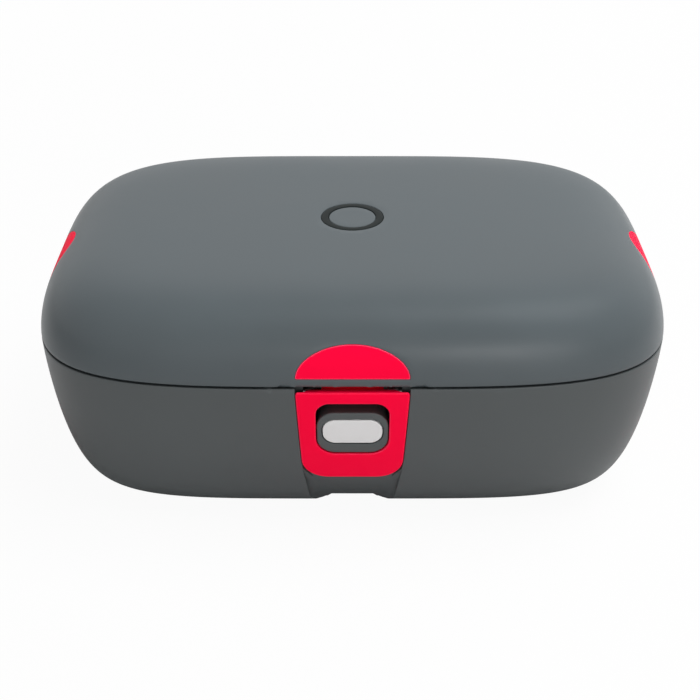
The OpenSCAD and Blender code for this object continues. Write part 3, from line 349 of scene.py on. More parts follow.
def outline(corners, step):
    """Closed outline through corners (x, y, radius), rounded by arcs and divided evenly."""
    count = len(corners)
    arcs = []
    for i, (x, y, r) in enumerate(corners):
        p = np.array([x, y], float)
        a = np.array(corners[i - 1][:2], float) - p
        b = np.array(corners[(i + 1) % count][:2], float) - p
        a /= np.linalg.norm(a)
        b /= np.linalg.norm(b)
        half = math.acos(np.clip(a @ b, -1, 1)) / 2
        if r <= 0:
            arcs.append(p[None, :])
            continue
        centre = p + (a + b) / np.linalg.norm(a + b) * r / math.sin(half)
        start = p + a * r / math.tan(half) - centre
        end = p + b * r / math.tan(half) - centre
        angle = math.pi - 2 * half
        turn = angle if start[0] * end[1] - start[1] * end[0] > 0 else -angle
        n = max(2, int(math.ceil(r * angle / (step * 0.45))), int(math.ceil(angle / 0.2)))
        arc = []
        for k in range(n + 1):
            c = math.cos(turn * k / n)
            s = math.sin(turn * k / n)
            arc.append(centre + [start[0] * c - start[1] * s, start[0] * s + start[1] * c])
        arcs.append(np.array(arc))
    loop = []
    for i in range(count):
        loop.append(arcs[i][:-1] if len(arcs[i]) > 1 else arcs[i][:0])
        loop.append(between(arcs[i][-1], arcs[(i + 1) % count][0], step))
    return np.concatenate(loop)


def widen(path, closed, amount):
    """Moves a path sideways, to its right hand side as it runs, by amount."""
    path = np.asarray(path, float)
    if closed:
        ahead = np.roll(path, -1, axis=0) - path
        behind = path - np.roll(path, 1, axis=0)
    else:
        ahead = np.diff(path, axis=0, append=path[-1:] * 2 - path[-2:-1])
        behind = np.diff(path, axis=0, prepend=path[:1] * 2 - path[1:2])
    ahead = ahead / np.linalg.norm(ahead, axis=1)[:, None]
    behind = behind / np.linalg.norm(behind, axis=1)[:, None]
    side = np.stack([ahead[:, 1] + behind[:, 1], -ahead[:, 0] - behind[:, 0]], axis=1)
    side /= np.linalg.norm(side, axis=1)[:, None]
    square = side[:, 0] * ahead[:, 1] - side[:, 1] * ahead[:, 0]
    return path + side * (amount / np.maximum(square, 0.5))[:, None]


def turns_left(loop):
    return np.sum(loop[:, 0] * np.roll(loop[:, 1], -1) - np.roll(loop[:, 0], -1) * loop[:, 1]) > 0


def rounding(size, steps):
    """Rounded edge as pairs: how far it still stands out from the wall, and how deep it has gone."""
    return [(size * (1 - math.sin(a)), size * (1 - math.cos(a))) for a in np.linspace(0, math.pi / 2, steps)]


def circle(r, m, cx=0.0, cy=0.0):
    a = np.arange(m) * 2 * math.pi / m
    return np.stack([cx + r * np.cos(a), cy + r * np.sin(a)], axis=1)


def level(flat, z):
    """Plan points laid at height z."""
    return np.column_stack([flat, np.full(len(flat), z)])


def four(x, y):
    """A place and its mirror images across both middle planes."""
    return [(sx * x, sy * y) for sx in (-1, 1) for sy in (-1, 1)]


print("a round of 1 mm in three steps:", [(round(x, 2), round(y, 2)) for x, y in rounding(1, 3)])


# %% From patches to a Blender object
SEW = 0.012
THIN_EDGE = 1e-7
SHARP_ANGLE = 38


def build(node, surface, body, slot):
    """Makes a sewn, outward facing object that rides on a body and stands in for a CAD node."""
    name = node + "_form"
    points = (np.concatenate(surface.points) + [0, PLACE_Y, 0]) * MM
    mesh = bpy.data.meshes.new(name)
    mesh.from_pydata(points.tolist(), [], surface.faces)
    shape = bmesh.new()
    shape.from_mesh(mesh)
    bmesh.ops.remove_doubles(shape, verts=shape.verts, dist=SEW * MM)
    bmesh.ops.dissolve_degenerate(shape, dist=THIN_EDGE, edges=shape.edges)
    bmesh.ops.recalc_face_normals(shape, faces=shape.faces)
    open_edges = sum(1 for e in shape.edges if len(e.link_faces) != 2)
    shape.to_mesh(mesh)
    shape.free()
    obj = bpy.data.objects.new(name, mesh)
    bpy.context.scene.collection.objects.link(obj)
    mesh.polygons.foreach_set("use_smooth", [True] * len(mesh.polygons))
    mesh.set_sharp_from_angle(angle=math.radians(SHARP_ANGLE))
    mesh.materials.append(FINISH[slot])
    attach(obj, body)
    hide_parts(node)
    print(name, "has", len(mesh.polygons), "faces and", open_edges, "open edges")
    return obj


print("patches are sewn where their points lie within", SEW, "mm")

# %% [markdown]
# ## Plan curves round the box
# The corners and the back have no cut-outs, so they are plain grids. Each row is resampled by its
# length, so that the squares stay even where the corner turns.

# %% Plan curve of a row, and a stretch of it
QUARTER_POINTS = 160
BEND_WEIGHT = 30


def plan_quarter(hx, hy, n):
    """Quarter of the plan curve from the middle of the back (0, hy) to the middle of the right end."""
    limit = 2 ** (-1 / n)
    s = np.linspace(0, limit, QUARTER_POINTS)
    c = (1 - s ** n) ** (1 / n)
    first = np.stack([hx * s, hy * c], axis=1)
    second = np.stack([hx * c[::-1], hy * s[::-1]], axis=1)
    return np.concatenate([first, second[1:]])


def plan_curve(hx, hy, n):
    """The whole plan curve, from the middle of the front, counter-clockwise seen from above."""
    q = plan_quarter(hx, hy, n)
    right_back = q[::-1]
    front_right = np.stack([q[:, 0], -q[:, 1]], axis=1)
    back_left = np.stack([-q[:, 0], q[:, 1]], axis=1)
    left_front = np.stack([-q[::-1, 0], -q[::-1, 1]], axis=1)
    return np.concatenate([front_right, right_back[1:], back_left[1:], left_front[1:]])


def resample(curve, count):
    step = np.diff(curve, axis=0)
    length = np.hypot(*step.T)
    heading = np.unwrap(np.arctan2(step[:, 1], step[:, 0]))
    turn = np.concatenate([[0], np.abs(np.diff(heading))])
    weight = np.concatenate([[0], np.cumsum(length + BEND_WEIGHT * turn)])
    marks = np.linspace(0, weight[-1], count)
    return np.stack([np.interp(marks, weight, curve[:, 0]), np.interp(marks, weight, curve[:, 1])], axis=1)


def even_ring(hx, hy, n, count):
    """Closed plan curve with evenly spread points."""
    return resample(plan_curve(hx, hy, n), count)[:-1]


def span_between(curve, start, end):
    """Stretch of a closed plan curve from start to end, counter-clockwise, with both put in exactly."""
    i0 = int(np.argmin(np.hypot(*(curve - start).T)))
    i1 = int(np.argmin(np.hypot(*(curve - end).T)))
    if i1 <= i0:
        i1 += len(curve) - 1
    twice = np.concatenate([curve, curve[1:]])
    return np.concatenate([[start], twice[i0 + 2:i1 - 1], [end]])


print("plan curve at the seam:", len(plan_curve(*halves(BASE, 0.0))), "points")


# %% Strips between two side patches
def end_line(rows, side, u):
    """Station of a patch's end on every row. A number under 1 is a share of the side's half length."""
    hx, hy, n = halves(rows["form"], rows["t"])
    other = hx if side == "front" else hy
    return u * other if abs(u) < 1 else np.full(len(other), float(u))


def strip(rows, start, end, count):
    """Grid over the rows between two stations, each given as (side, u)."""
    out = []
    stations = [end_line(rows, *start), end_line(rows, *end)]
    for k in range(len(rows["v"])):
        hx, hy, n = halves(rows["form"], rows["t"][k])
        inset = rows["inset"][k]
        curve = plan_curve(hx, hy, n)
        ends = []
        for (side, _), line_u in zip((start, end), stations):
            u = line_u[k]
            r = reach(rows, side, u, rows["v"][k], 0) + inset
            ends.append(put(side, u, r, 0.0)[:2])
        line = resample(span_between(curve, *ends), count)
        line[0] = ends[0]
        line[-1] = ends[1]
        if inset > 0:
            tangent = np.gradient(line, axis=0)
            normal = np.stack([tangent[:, 1], -tangent[:, 0]], axis=1)
            normal /= np.linalg.norm(normal, axis=1)[:, None]
            line = line - normal * inset
            line[0] = on_side(rows, start[0], (stations[0][k], rows["v"][k]), 0)[:2]
            line[-1] = on_side(rows, end[0], (stations[1][k], rows["v"][k]), 0)[:2]
        out.append(np.column_stack([line, np.full(count, rows["z"][k])]))
    return np.array(out)


print("corner strip of the base:", strip(BASE_ROWS, ("front", 34.0), ("right", -36.0), 60).shape, "points")


# %% Closing flat regions
SAME_LEVEL = 1e-4
SAME_PLACE = 0.004


def cap_flat(surface, z, spacing=3.0):
    """Fills the flat region at height z between the surface's own open edges."""
    points = np.concatenate(surface.points)
    keys = {}
    merged = []
    lookup = np.full(len(points), -1)
    here = np.abs(points[:, 2] - z) < SAME_LEVEL
    for i in np.nonzero(here)[0]:
        key = (round(points[i, 0] / SAME_PLACE), round(points[i, 1] / SAME_PLACE))
        hit = None
        for dx in (-1, 0, 1):
            for dy in (-1, 0, 1):
                hit = keys.get((key[0] + dx, key[1] + dy), hit)
        if hit is None:
            hit = len(merged)
            merged.append(points[i, :2])
            keys[key] = hit
        lookup[i] = hit
    count = {}
    for face in surface.faces:
        for a, b in zip(face, face[1:] + face[:1]):
            if here[a] and here[b] and lookup[a] != lookup[b]:
                pair = tuple(sorted((int(lookup[a]), int(lookup[b]))))
                count[pair] = count.get(pair, 0) + 1
    links = {}
    for a, b in [pair for pair, uses in count.items() if uses == 1]:
        links.setdefault(a, []).append(b)
        links.setdefault(b, []).append(a)
    rings = []
    left = set(links)
    while left:
        ring = [left.pop()]
        while True:
            ahead = [q for q in links[ring[-1]] if q in left]
            if not ahead:
                break
            left.discard(ahead[0])
            ring.append(ahead[0])
        if len(ring) > 2:
            rings.append(np.array([merged[i] for i in ring]))
    surface.patch(rings, spacing, lambda flat: level(flat, z))
    print("  flat region at", round(z, 2), "closed from", len(rings), "rings")

# %% [markdown]
# ## Finishes
# The shells and latches are soft-touch plastic: matt, with a very fine grain from the mould. The
# grain is a bump from noise far smaller than a millimetre, and slow noise varies the roughness, so
# broad faces don't look like one flat colour.

# %% Small helpers for node trees
def new_material(name):
    material = bpy.data.materials.new(name)
    material.use_nodes = True
    tree = material.node_tree
    return material, tree, tree.nodes["Principled BSDF"]


def feed(tree, node, inputs):
    """Gives a node's sockets plain values or the outputs of other nodes."""
    for key, value in inputs.items():
        if isinstance(value, bpy.types.NodeSocket):
            tree.links.new(value, node.inputs[key])
        else:
            node.inputs[key].default_value = value


def add_node(tree, kind, inputs, operation=None):
    node = tree.nodes.new("ShaderNode" + kind)
    if operation:
        node.operation = operation
    feed(tree, node, inputs)
    return node


def noise(tree, scale, detail, stretch=None):
    """Noise in the object's own space; a stretch draws it out into lines or fibres."""
    place = add_node(tree, "TexCoord", {}).outputs["Object"]
    if stretch:
        place = add_node(tree, "Mapping", {"Scale": stretch, "Vector": place}).outputs["Vector"]
    return add_node(tree, "TexNoise", {"Scale": scale, "Detail": detail, "Vector": place}).outputs["Fac"]


def ramp_between(tree, source, low, high, start=0.3, end=0.7):
    """Runs from low to high while the source runs from start to end."""
    return add_node(tree, "MapRange", {"From Min": start, "From Max": end, "To Min": low, "To Max": high,
                                       "Value": source}).outputs["Result"]


def shades(color, spread):
    return tuple(c * (1 - spread) for c in color), tuple(min(1, c * (1 + spread)) for c in color)


def tint(tree, source, color, spread):
    """Slightly darker and lighter tones of a colour, mixed by the source."""
    ramp = add_node(tree, "ValToRGB", {"Fac": source})
    for element, position, tone in zip(ramp.color_ramp.elements, (0.3, 0.7), shades(color, spread)):
        element.position = position
        element.color = (*tone, 1)
    return ramp.outputs["Color"]


def add_bump(tree, shader, source, strength, distance):
    bump = add_node(tree, "Bump", {"Strength": strength, "Distance": distance, "Height": source})
    feed(tree, shader, {"Normal": bump.outputs["Normal"]})


print("tones of a mid grey:", shades((0.5, 0.5, 0.5), 0.1))


# %% Moulded plastic
# Painted highlight: a paler colour along rounded edges, where light would catch them; the radius sets how
# near an edge it starts.
EDGE_HIGHLIGHT_RADIUS = 0.00055
FINE_GRAIN = 2600
SLOW_GRAIN = 22


def painted_edge_highlight(tree, skin, pale):
    """Painted highlight: colour that turns paler where a bevel would bend the normal, which is along rounded
    edges.
    """
    shape = add_node(tree, "NewGeometry", {})
    near = add_node(tree, "Bevel", {"Radius": EDGE_HIGHLIGHT_RADIUS})
    turn = add_node(tree, "VectorMath", {0: shape.outputs["Normal"], 1: near.outputs["Normal"]},
                    "DOT_PRODUCT")
    share = ramp_between(tree, turn.outputs["Value"], 0.9, 0.0, 0.9, 0.995)
    return add_node(tree, "MixRGB", {"Fac": share, "Color1": skin, "Color2": (*pale, 1)}).outputs["Color"]


def moulded(name, color, rough, grain=FINE_GRAIN, depth=0.00004, spread=0.04, shine=0.5, edge=None):
    """Moulded plastic with a fine grain; edge is a paler colour painted along rounded edges as a highlight.
    """
    material, tree, shader = new_material(name)
    fine = noise(tree, grain, 2)
    slow = noise(tree, SLOW_GRAIN, 4)
    skin = tint(tree, slow, color, spread)
    if edge:
        skin = painted_edge_highlight(tree, skin, edge)
    feed(tree, shader, {"Base Color": skin, "Specular IOR Level": shine,
                        "Roughness": ramp_between(tree, slow, rough - 0.04, rough + 0.05)})
    add_bump(tree, shader, fine, 0.35, depth)
    return material


# %% Metals
def brushed(name, color, rough, stretch=(1, 60, 60)):
    """Metal with fine lines that run one way."""
    material, tree, shader = new_material(name)
    lines = noise(tree, 60, 5, stretch)
    slow = noise(tree, 15, 3)
    feed(tree, shader, {"Base Color": tint(tree, lines, color, 0.06), "Metallic": 1.0,
                        "Roughness": ramp_between(tree, slow, rough - 0.05, rough + 0.08)})
    add_bump(tree, shader, lines, 0.25, 0.00002)
    return material


def satin_steel(name, color, rough):
    """Pressed sheet steel: a fine even grain and a slow change of gloss."""
    material, tree, shader = new_material(name)
    fine = noise(tree, FINE_GRAIN, 2)
    slow = noise(tree, 12, 2)
    feed(tree, shader, {"Base Color": tint(tree, fine, color, 0.03), "Metallic": 1.0,
                        "Roughness": ramp_between(tree, slow, rough - 0.03, rough + 0.04)})
    add_bump(tree, shader, fine, 0.12, 0.00001)
    return material


# %% Felt, foam and the circuit board
def felted(name, color, scale=900, depth=0.0003, rough=0.95):
    """Felt, foam or fibre."""
    material, tree, shader = new_material(name)
    fibre = noise(tree, scale, 6, (1, 1, 3))
    slow = noise(tree, 40, 3)
    feed(tree, shader, {"Base Color": tint(tree, slow, color, 0.12), "Roughness": rough,
                        "Sheen Weight": 0.3})
    add_bump(tree, shader, fibre, 0.7, depth)
    return material


def solder_mask(name, color):
    """Circuit board: green lacquer over raised tracks."""
    material, tree, shader = new_material(name)
    dark, light = shades(color, 0.3)
    bricks = add_node(tree, "TexBrick", {
        "Scale": 90, "Mortar Size": 0.09, "Color1": (*dark, 1), "Color2": (*color, 1),
        "Mortar": (*light, 1), "Vector": add_node(tree, "TexCoord", {}).outputs["Object"]})
    feed(tree, shader, {"Base Color": bricks.outputs["Color"], "Roughness": 0.3})
    add_bump(tree, shader, bricks.outputs["Fac"], 0.3, 0.00005)
    return material


# %% One finish for each material slot
LID_GREY = (0.062, 0.076, 0.083)
BASE_GREY = (0.060, 0.068, 0.070)
RED = (0.98, 0.001, 0.043)
FINISH = {}


def finish(maker, name, *look, **more):
    FINISH[name] = maker(name, *look, **more)


finish(moulded, "base_plastic", BASE_GREY, 0.4)
finish(moulded, "lid_plastic", LID_GREY, 0.35)
finish(moulded, "deck_plastic", (0.12, 0.133, 0.133), 0.5)
finish(moulded, "liner_plastic", (0.58, 0.58, 0.56), 0.42)
# The red's edge colour is a painted highlight along its rounded edges.
finish(moulded, "red_plastic", RED, 0.5, spread=0.02, shine=0.04, edge=(1.0, 0.15, 0.3))
finish(moulded, "pale_plastic", (0.7, 0.69, 0.69), 0.4, spread=0.02)
finish(moulded, "black_gloss", (0.006, 0.009, 0.009), 0.35, depth=0.00001, shine=0.12)
finish(moulded, "black_plastic", (0.012, 0.012, 0.013), 0.45)
finish(moulded, "relay_plastic", (0.02, 0.09, 0.33), 0.3)
finish(moulded, "foot_rubber", (0.02, 0.02, 0.02), 0.8, grain=900, depth=0.0001)
finish(moulded, "silicone", (0.62, 0.62, 0.6), 0.6, grain=1200)
finish(brushed, "bare_steel", (0.55, 0.55, 0.56), 0.28, (40, 40, 1))
finish(brushed, "spring_steel", (0.5, 0.5, 0.52), 0.25, (1, 20, 20))
finish(satin_steel, "dish_steel", (0.6, 0.605, 0.61), 0.27)
finish(brushed, "shield_steel", (0.55, 0.55, 0.55), 0.35)
finish(brushed, "heater_aluminium", (0.66, 0.67, 0.68), 0.38, (60, 1, 60))
finish(brushed, "contact_brass", (0.72, 0.56, 0.25), 0.25, (1, 30, 30))
finish(felted, "mica_film", (0.42, 0.3, 0.13), 300, 0.0001, 0.6)
finish(felted, "fibre_pad", (0.75, 0.75, 0.7))
finish(felted, "foam", (0.72, 0.7, 0.58), 1500, 0.0004)
finish(moulded, "fuse_ceramic", (0.7, 0.66, 0.52), 0.35)
finish(solder_mask, "circuit_board", (0.01, 0.1, 0.04))
finish(moulded, "coil_tape", (0.6, 0.4, 0.04), 0.35, grain=500)
finish(moulded, "led_lens", (0.8, 0.8, 0.75), 0.15, depth=0.00001)
finish(moulded, "lead_jacket", (0.02, 0.02, 0.02), 0.5)
finish(moulded, "inlet_jacket", (0.18, 0.06, 0.02), 0.5)
finish(moulded, "earth_jacket", (0.06, 0.16, 0.02), 0.5)
finish(moulded, "neutral_jacket", (0.02, 0.06, 0.25), 0.5)
finish(felted, "heater_jacket", (0.62, 0.62, 0.57), 2500, 0.0002)
print("finishes:", len(FINISH))

# %% [markdown]
# ## The base shell
# The base is one moulding. Each latch sits in a shallow recess that runs from the rim down into a
# finger scoop under the plate, and a deeper pocket behind the plate holds its pivot. The recess is
# drawn as an outline on the side patch, with a small rounded lip, so light catches its edge.

# %% Outline of a latch recess, drawn upwards on its right half
def recess_path(rows):
    edge = PLATE_LOW_HALF + RECESS_GROW
    wide = PLATE_HALF + RECESS_GROW
    top_z = PLATE_TOP_Z - PLATE_STRAIGHT
    slope = (edge - SCOOP_LOW_HALF) / (PLATE_JOIN_Z - (UNDER_Z - 1))
    path = []
    for z in np.linspace(UNDER_Z, PLATE_JOIN_Z, 50)[:-1]:
        pull = max(0.0, (SCOOP_BEND_Z - z) / (SCOOP_BEND_Z - UNDER_Z))
        path.append((edge - slope * (PLATE_JOIN_Z - z) - SCOOP_BEND * pull ** 1.6, z))
    path += [tuple(p) for p in between((edge, PLATE_JOIN_Z), (wide, top_z), 1.3)]
    path += [tuple(p) for p in between((wide, top_z), (wide, BASE_RIM_Z), 1.2)]
    path = np.array(path + [(wide, BASE_RIM_Z)])
    v = v_of(rows, path[:, 1])
    v[0] = rows["v"][-1]
    v[-1] = rows["v"][0]
    return np.stack([path[:, 0], v], axis=1)


def recess_depth(z):
    """Depth of the recess: the scoop's below the plate's round corners, the plate's above them."""
    return np.interp(z, [PLATE_JOIN_Z, PLATE_JOIN_Z + 1], [SCOOP_T, RECESS_T])


print("recess path:", len(recess_path(BASE_ROWS)), "points")


# %% Side patch with a latch recess and its pocket
LIP_MOUTH = 0.3
LIP_FOOT = 0.3
LIP_STEPS = 8
STEEP_Z = 3.0
STEEP_SPAN = 9.0


def recess_sections(z_path):
    """Steps from the skin to the recess's floor: shift and depth at each point of the path."""
    depth = recess_depth(z_path)
    crisp = np.clip((z_path - SCOOP_SOFT_Z) / (SCOOP_CRISP_Z - SCOOP_SOFT_Z), 0, 1)
    steep = np.clip((z_path - STEEP_Z) / STEEP_SPAN, 0, 1)
    turn = np.linspace(0, math.pi / 2, LIP_STEPS)
    offs = np.concatenate([LIP_MOUTH * (1 - np.sin(turn)), -LIP_FOOT * (1 - np.cos(turn))])
    sections = []
    for i, share in enumerate(np.linspace(0, 1, 2 * LIP_STEPS)):
        if i < LIP_STEPS:
            sharp = np.full(len(z_path), LIP_MOUTH * (1 - math.cos(turn[i])))
        else:
            sharp = depth - LIP_FOOT + LIP_FOOT * math.sin(turn[i - LIP_STEPS])
        swing = 3 * share ** 2 - 2 * share ** 3
        hollow = math.sqrt(1 - (1 - share) ** 2)
        bowl = depth * (swing + (hollow - swing) * steep)
        off = crisp * offs[i] - (1 - crisp) * SCOOP_CURVE * share
        sections.append((off, crisp * sharp + (1 - crisp) * bowl))
    return sections


def latch_recess(surface, rows, side, u0, u1, extra_holes=()):
    """Side patch with the recess, the scoop and the pocket behind the latch."""
    mid = MIDDLE[side]
    v_top = rows["v"][0]
    v_low = rows["v"][-1]
    right = recess_path(rows)
    edges = {}
    for s in (1, -1):
        columns = []
        for off, dep in recess_sections(z_of(rows, right[:, 1])):
            moved = widen(right, False, -off)
            moved[0, 1] = v_low
            moved[-1, 1] = v_top
            moved[:, 0] = moved[:, 0] * s + mid
            columns.append((moved, dep))
        surface.grid([on_side(rows, side, uv, d) for uv, d in columns])
        edges[s] = (columns[0][0], columns[-1][0])
    for s, u_end in ((1, u1), (-1, u0)):
        rim = edges[s][0]
        line = end_line(rows, side, u_end)
        loop = [np.stack([line, rows["v"]], axis=1)[:-1], between((line[-1], v_low), rim[0]), rim[:-1],
                between(rim[-1], (line[0], v_top))]
        holes = [h for h in extra_holes if (h[:, 0].mean() - mid) * s > 0]
        surface.patch([np.concatenate(loop)] + holes, 2.0, lambda flat: on_side(rows, side, flat))
    v_pocket = v_of(rows, POCKET_LOW_Z)
    inner_r = edges[1][1]
    inner_l = edges[-1][1]
    high_r, low_r = (mid + POCKET_HALF, v_top), (mid + POCKET_HALF, v_pocket)
    high_l, low_l = (mid - POCKET_HALF, v_top), (mid - POCKET_HALF, v_pocket)
    wall = np.concatenate([between(high_r, low_r), between(low_r, low_l), between(low_l, high_l), [high_l]])
    loop = [inner_r[:-1], between(inner_r[-1], high_r), wall[:-1], between(high_l, inner_l[-1]),
            inner_l[::-1][:-1], between(inner_l[0], inner_r[0])]

    def floor(flat):
        return on_side(rows, side, flat, recess_depth(z_of(rows, flat[:, 1])))

    surface.patch([np.concatenate(loop)], 2.5, floor)
    back = np.stack([wall[:, 0], z_of(rows, wall[:, 1])], axis=1)
    surface.grid([floor(wall), sunk(side, back, POCKET_DEPTH)])
    surface.patch([back], 6.0, lambda flat: sunk(side, flat, POCKET_DEPTH))


# %% Inlet mouth and hinge knuckles
INLET_CORNER = 1.2
BORE_R = 1.5
LID_BORE_R = 1.55
ARM_Y = -6.6
ARM_GAP = 0.6
LID_ARM_Z = 3.6
BASE_ARM_Z = -7.2


def inlet_outline(rows, grow):
    half = INLET_W / 2 + grow
    tall = INLET_H / 2 + grow
    r = INLET_CORNER + grow
    loop = outline([(INLET_Y - half, INLET_Z - tall, r), (INLET_Y + half, INLET_Z - tall, r),
                    (INLET_Y + half, INLET_Z + tall, r), (INLET_Y - half, INLET_Z + tall, r)], 1.5)
    return np.stack([loop[:, 0], v_of(rows, loop[:, 1])], axis=1)


def hinge_profile(up):
    """Section of a knuckle with the arm that carries it, as (y, z) points."""
    def angle(z):
        return math.atan2(z, -math.sqrt(KNUCKLE_R ** 2 - z ** 2))

    if up:
        points = [(ARM_Y, ARM_GAP), (ARM_Y, LID_ARM_Z)]
        start, end = angle(LID_ARM_Z), angle(ARM_GAP) - 2 * math.pi
    else:
        points = [(ARM_Y, BASE_ARM_Z), (ARM_Y, -ARM_GAP)]
        start, end = angle(-ARM_GAP) + 2 * math.pi, -math.pi / 2
    points += [(KNUCKLE_R * math.cos(a), KNUCKLE_R * math.sin(a)) for a in np.linspace(start, end, 30)]
    return np.array(points if up else points + [(0.0, BASE_ARM_Z)])


def prism(surface, loops, place, depth_a, depth_b, round_edge=0.35, spacing=0.0):
    """Solid between two copies of a flat region, with small rounds on its outer loop."""
    loops = [np.asarray(x, float) for x in loops]
    inwards = -1 if turns_left(loops[0]) else 1
    way = np.sign(depth_b - depth_a)
    rounds = rounding(round_edge, 4)
    rings = [(shift, depth_a + way * drop) for shift, drop in rounds]
    rings += [(shift, depth_b - way * drop) for shift, drop in rounds[::-1]]
    surface.tube([place(widen(loops[0], True, inwards * shift), d) for shift, d in rings])
    for loop in loops[1:]:
        surface.tube([place(loop, depth_a), place(loop, depth_b)])
    shrunk = widen(loops[0], True, inwards * round_edge)
    for d in (depth_a, depth_b):
        surface.patch([shrunk] + loops[1:], spacing, lambda flat: place(flat, d))


def at_hinge(flat, x):
    flat = np.asarray(flat)
    return np.column_stack([np.full(len(flat), x), flat[:, 0] + HINGE_Y, flat[:, 1] + SEAM_Z])


print("knuckle section:", len(hinge_profile(True)), "points")


# %% Inner wall of the base
COVER_CEILING_Z = 6.1
WALL_HEIGHTS = (BASE_RIM_Z, 72.0, 66.0, 58.0, 51.0, 49.8, 49.6, 42.0, 36.0, 33.9, 33.7, 28.0, 22.0,
                18.4, 18.2, 13.0, 10.0, 8.0, COVER_CEILING_Z)
WALL_LAG = 1.8
WALL_INSET = WALL - 0.2
POCKET_WALL_HALF = 21.7
RECESS_WALL_HALF = 25.3
RECESS_WALL_DEPTH = 6.0
POCKET_WALL_DEPTH = 17.2


def inner_ring(t, pocket_depth, round_inlet):
    """Plan of the base's inner wall, which steps inwards round the latch pockets and the inlet."""
    hx, hy, n = halves(BASE, t)
    curve = plan_curve(hx - WALL_INSET, hy - WALL_INSET, n)

    def wall_reach(side, u):
        main, other = (hy, hx) if side == "front" else (hx, hy)
        return (main - WALL_INSET) * (1 - (abs(u) / (other - WALL_INSET)) ** n) ** (1 / n)

    bumps = []
    for side, count in (("front", 60), ("right", 24), ("inlet", 140), ("left", 60)):
        if side == "inlet":
            side = "right"
            low, high = (INLET_Y + s * (INLET_W / 2 + INLET_WALL) for s in (-1, 1))
            far = INLET_FACE_X - WALL if round_inlet else None
            spans = [(low, None), (low, far), (high, far), (high, None)]
        else:
            mid = MIDDLE[side]
            near = (hy if side == "front" else hx) - RECESS_WALL_DEPTH
            far = near if pocket_depth is None else SIDES[side] - pocket_depth
            wide, slim = RECESS_WALL_HALF, POCKET_WALL_HALF
            spans = [(mid - wide, None), (mid - wide, near), (mid - slim, near), (mid - slim, far),
                     (mid + slim, far), (mid + slim, near), (mid + wide, near), (mid + wide, None)]
        corners = [put(side, u, wall_reach(side, u) if r is None else r, 0.0)[:2] for u, r in spans]
        bumps.append((np.array(corners), count))
    points = []
    for i, (corners, count) in enumerate(bumps):
        piece = span_between(curve, corners[-1], bumps[(i + 1) % len(bumps)][0][0])
        points.extend([corners, resample(piece, count)[1:-1]])
    return np.concatenate(points)


print("inner wall at half height:", len(inner_ring(curl_at(BASE, 40.0), None, False)), "points")


# %% Base shell: side patches, corners, rim, underside and hinge knuckles
COVER_SEAT_Z = 4.1
COVER_LEDGE = 5.3
FRONT_U = 34.0
NEAR_U = 36.0
BACK_U = 30.0
INLET_U = 0.82
KNUCKLE_FROM = 5.0
KNUCKLE_HALF = 3.5
LEAD_ARM = (0.15, 11.5)
LEAD_ARM_ROUND = 1.1
LEAD_BARREL_ROUND = 0.6


def base_shell():
    rows = BASE_ROWS
    shell = Surface()
    mouth = inlet_outline(rows, LIP_MOUTH)
    latch_recess(shell, rows, "front", -FRONT_U, FRONT_U)
    latch_recess(shell, rows, "left", -BACK_U, NEAR_U)
    latch_recess(shell, rows, "right", -NEAR_U, INLET_U, [mouth])
    shell.grid(strip(rows, ("front", FRONT_U), ("right", -NEAR_U), 60))
    shell.grid(strip(rows, ("right", INLET_U), ("left", -BACK_U), 170))
    shell.grid(strip(rows, ("left", NEAR_U), ("front", -FRONT_U), 60))
    rings = [on_side(rows, "right", widen(mouth, True, shift - LIP_MOUTH), drop)
             for shift, drop in rounding(LIP_MOUTH, 5)]
    inner = widen(mouth, True, -LIP_MOUTH)
    inner[:, 1] = z_of(rows, inner[:, 1])
    socket = HALF_W - INLET_FACE_X
    shell.tube(rings + [sunk("right", inner, socket)])
    shell.patch([inner], 5.0, lambda flat: sunk("right", flat, socket))
    wall = []
    for z in WALL_HEIGHTS:
        deep = POCKET_WALL_DEPTH if z > POCKET_LOW_Z - WALL else None
        beside = abs(z - INLET_Z) < INLET_H / 2 + INLET_WALL
        wall.append(level(inner_ring(curl_at(BASE, z - WALL_LAG), deep, beside), z))
    shell.tube(wall)
    cap_flat(shell, BASE_RIM_Z)
    wide = COVER_HW + COVER_GAP
    long = COVER_HD + COVER_GAP
    cover = even_ring(wide, long, COVER_POWER, 200)
    ledge = even_ring(wide - COVER_LEDGE, long - COVER_LEDGE, COVER_POWER, 200)
    shell.tube([level(cover, UNDER_Z), level(cover, COVER_SEAT_Z), level(ledge, COVER_SEAT_Z),
                level(ledge, COVER_CEILING_Z)])
    cap_flat(shell, COVER_CEILING_Z, 8.0)
    cap_flat(shell, UNDER_Z)
    for x in (-HINGE_X, HINGE_X):
        for s in (-1, 1):
            mid = x + s * (KNUCKLE_FROM + KNUCKLE_HALF)
            prism(shell, [hinge_profile(False), circle(BORE_R, 32)], at_hinge, mid - KNUCKLE_HALF,
                  mid + KNUCKLE_HALF)
    block = outline([(ARM_Y, -16.0, 1.2), (-4.2, -16.0, 1.2), (3.6, -11.0, 4.5), (4.2, 0.0, 3.0),
                     (2.0, 4.0, 2.5), (-3.4, 0.35, 1.2), (ARM_Y, 0.35, 1.2)], 1.0)
    near, far = LEAD_ARM
    prism(shell, [block], at_hinge, -far, -near, LEAD_ARM_ROUND)
    prism(shell, [circle(KNUCKLE_R, 48)], at_hinge, -far, -near, LEAD_BARREL_ROUND)
    build("base_shell", shell, "base", "base_plastic")


base_shell()

# %% [markdown]
# ## The lid shell
# The lid's sides curl over into an almost flat top. Three half-disc recesses take the red keepers
# that the latches hook under, and a round hole in the top takes the power button with its ring.

# %% Keeper recesses
KEEPER_CORNER = 0.6
KEEPER_MOUTH = 0.25
KEEPER_FOOT = 0.2


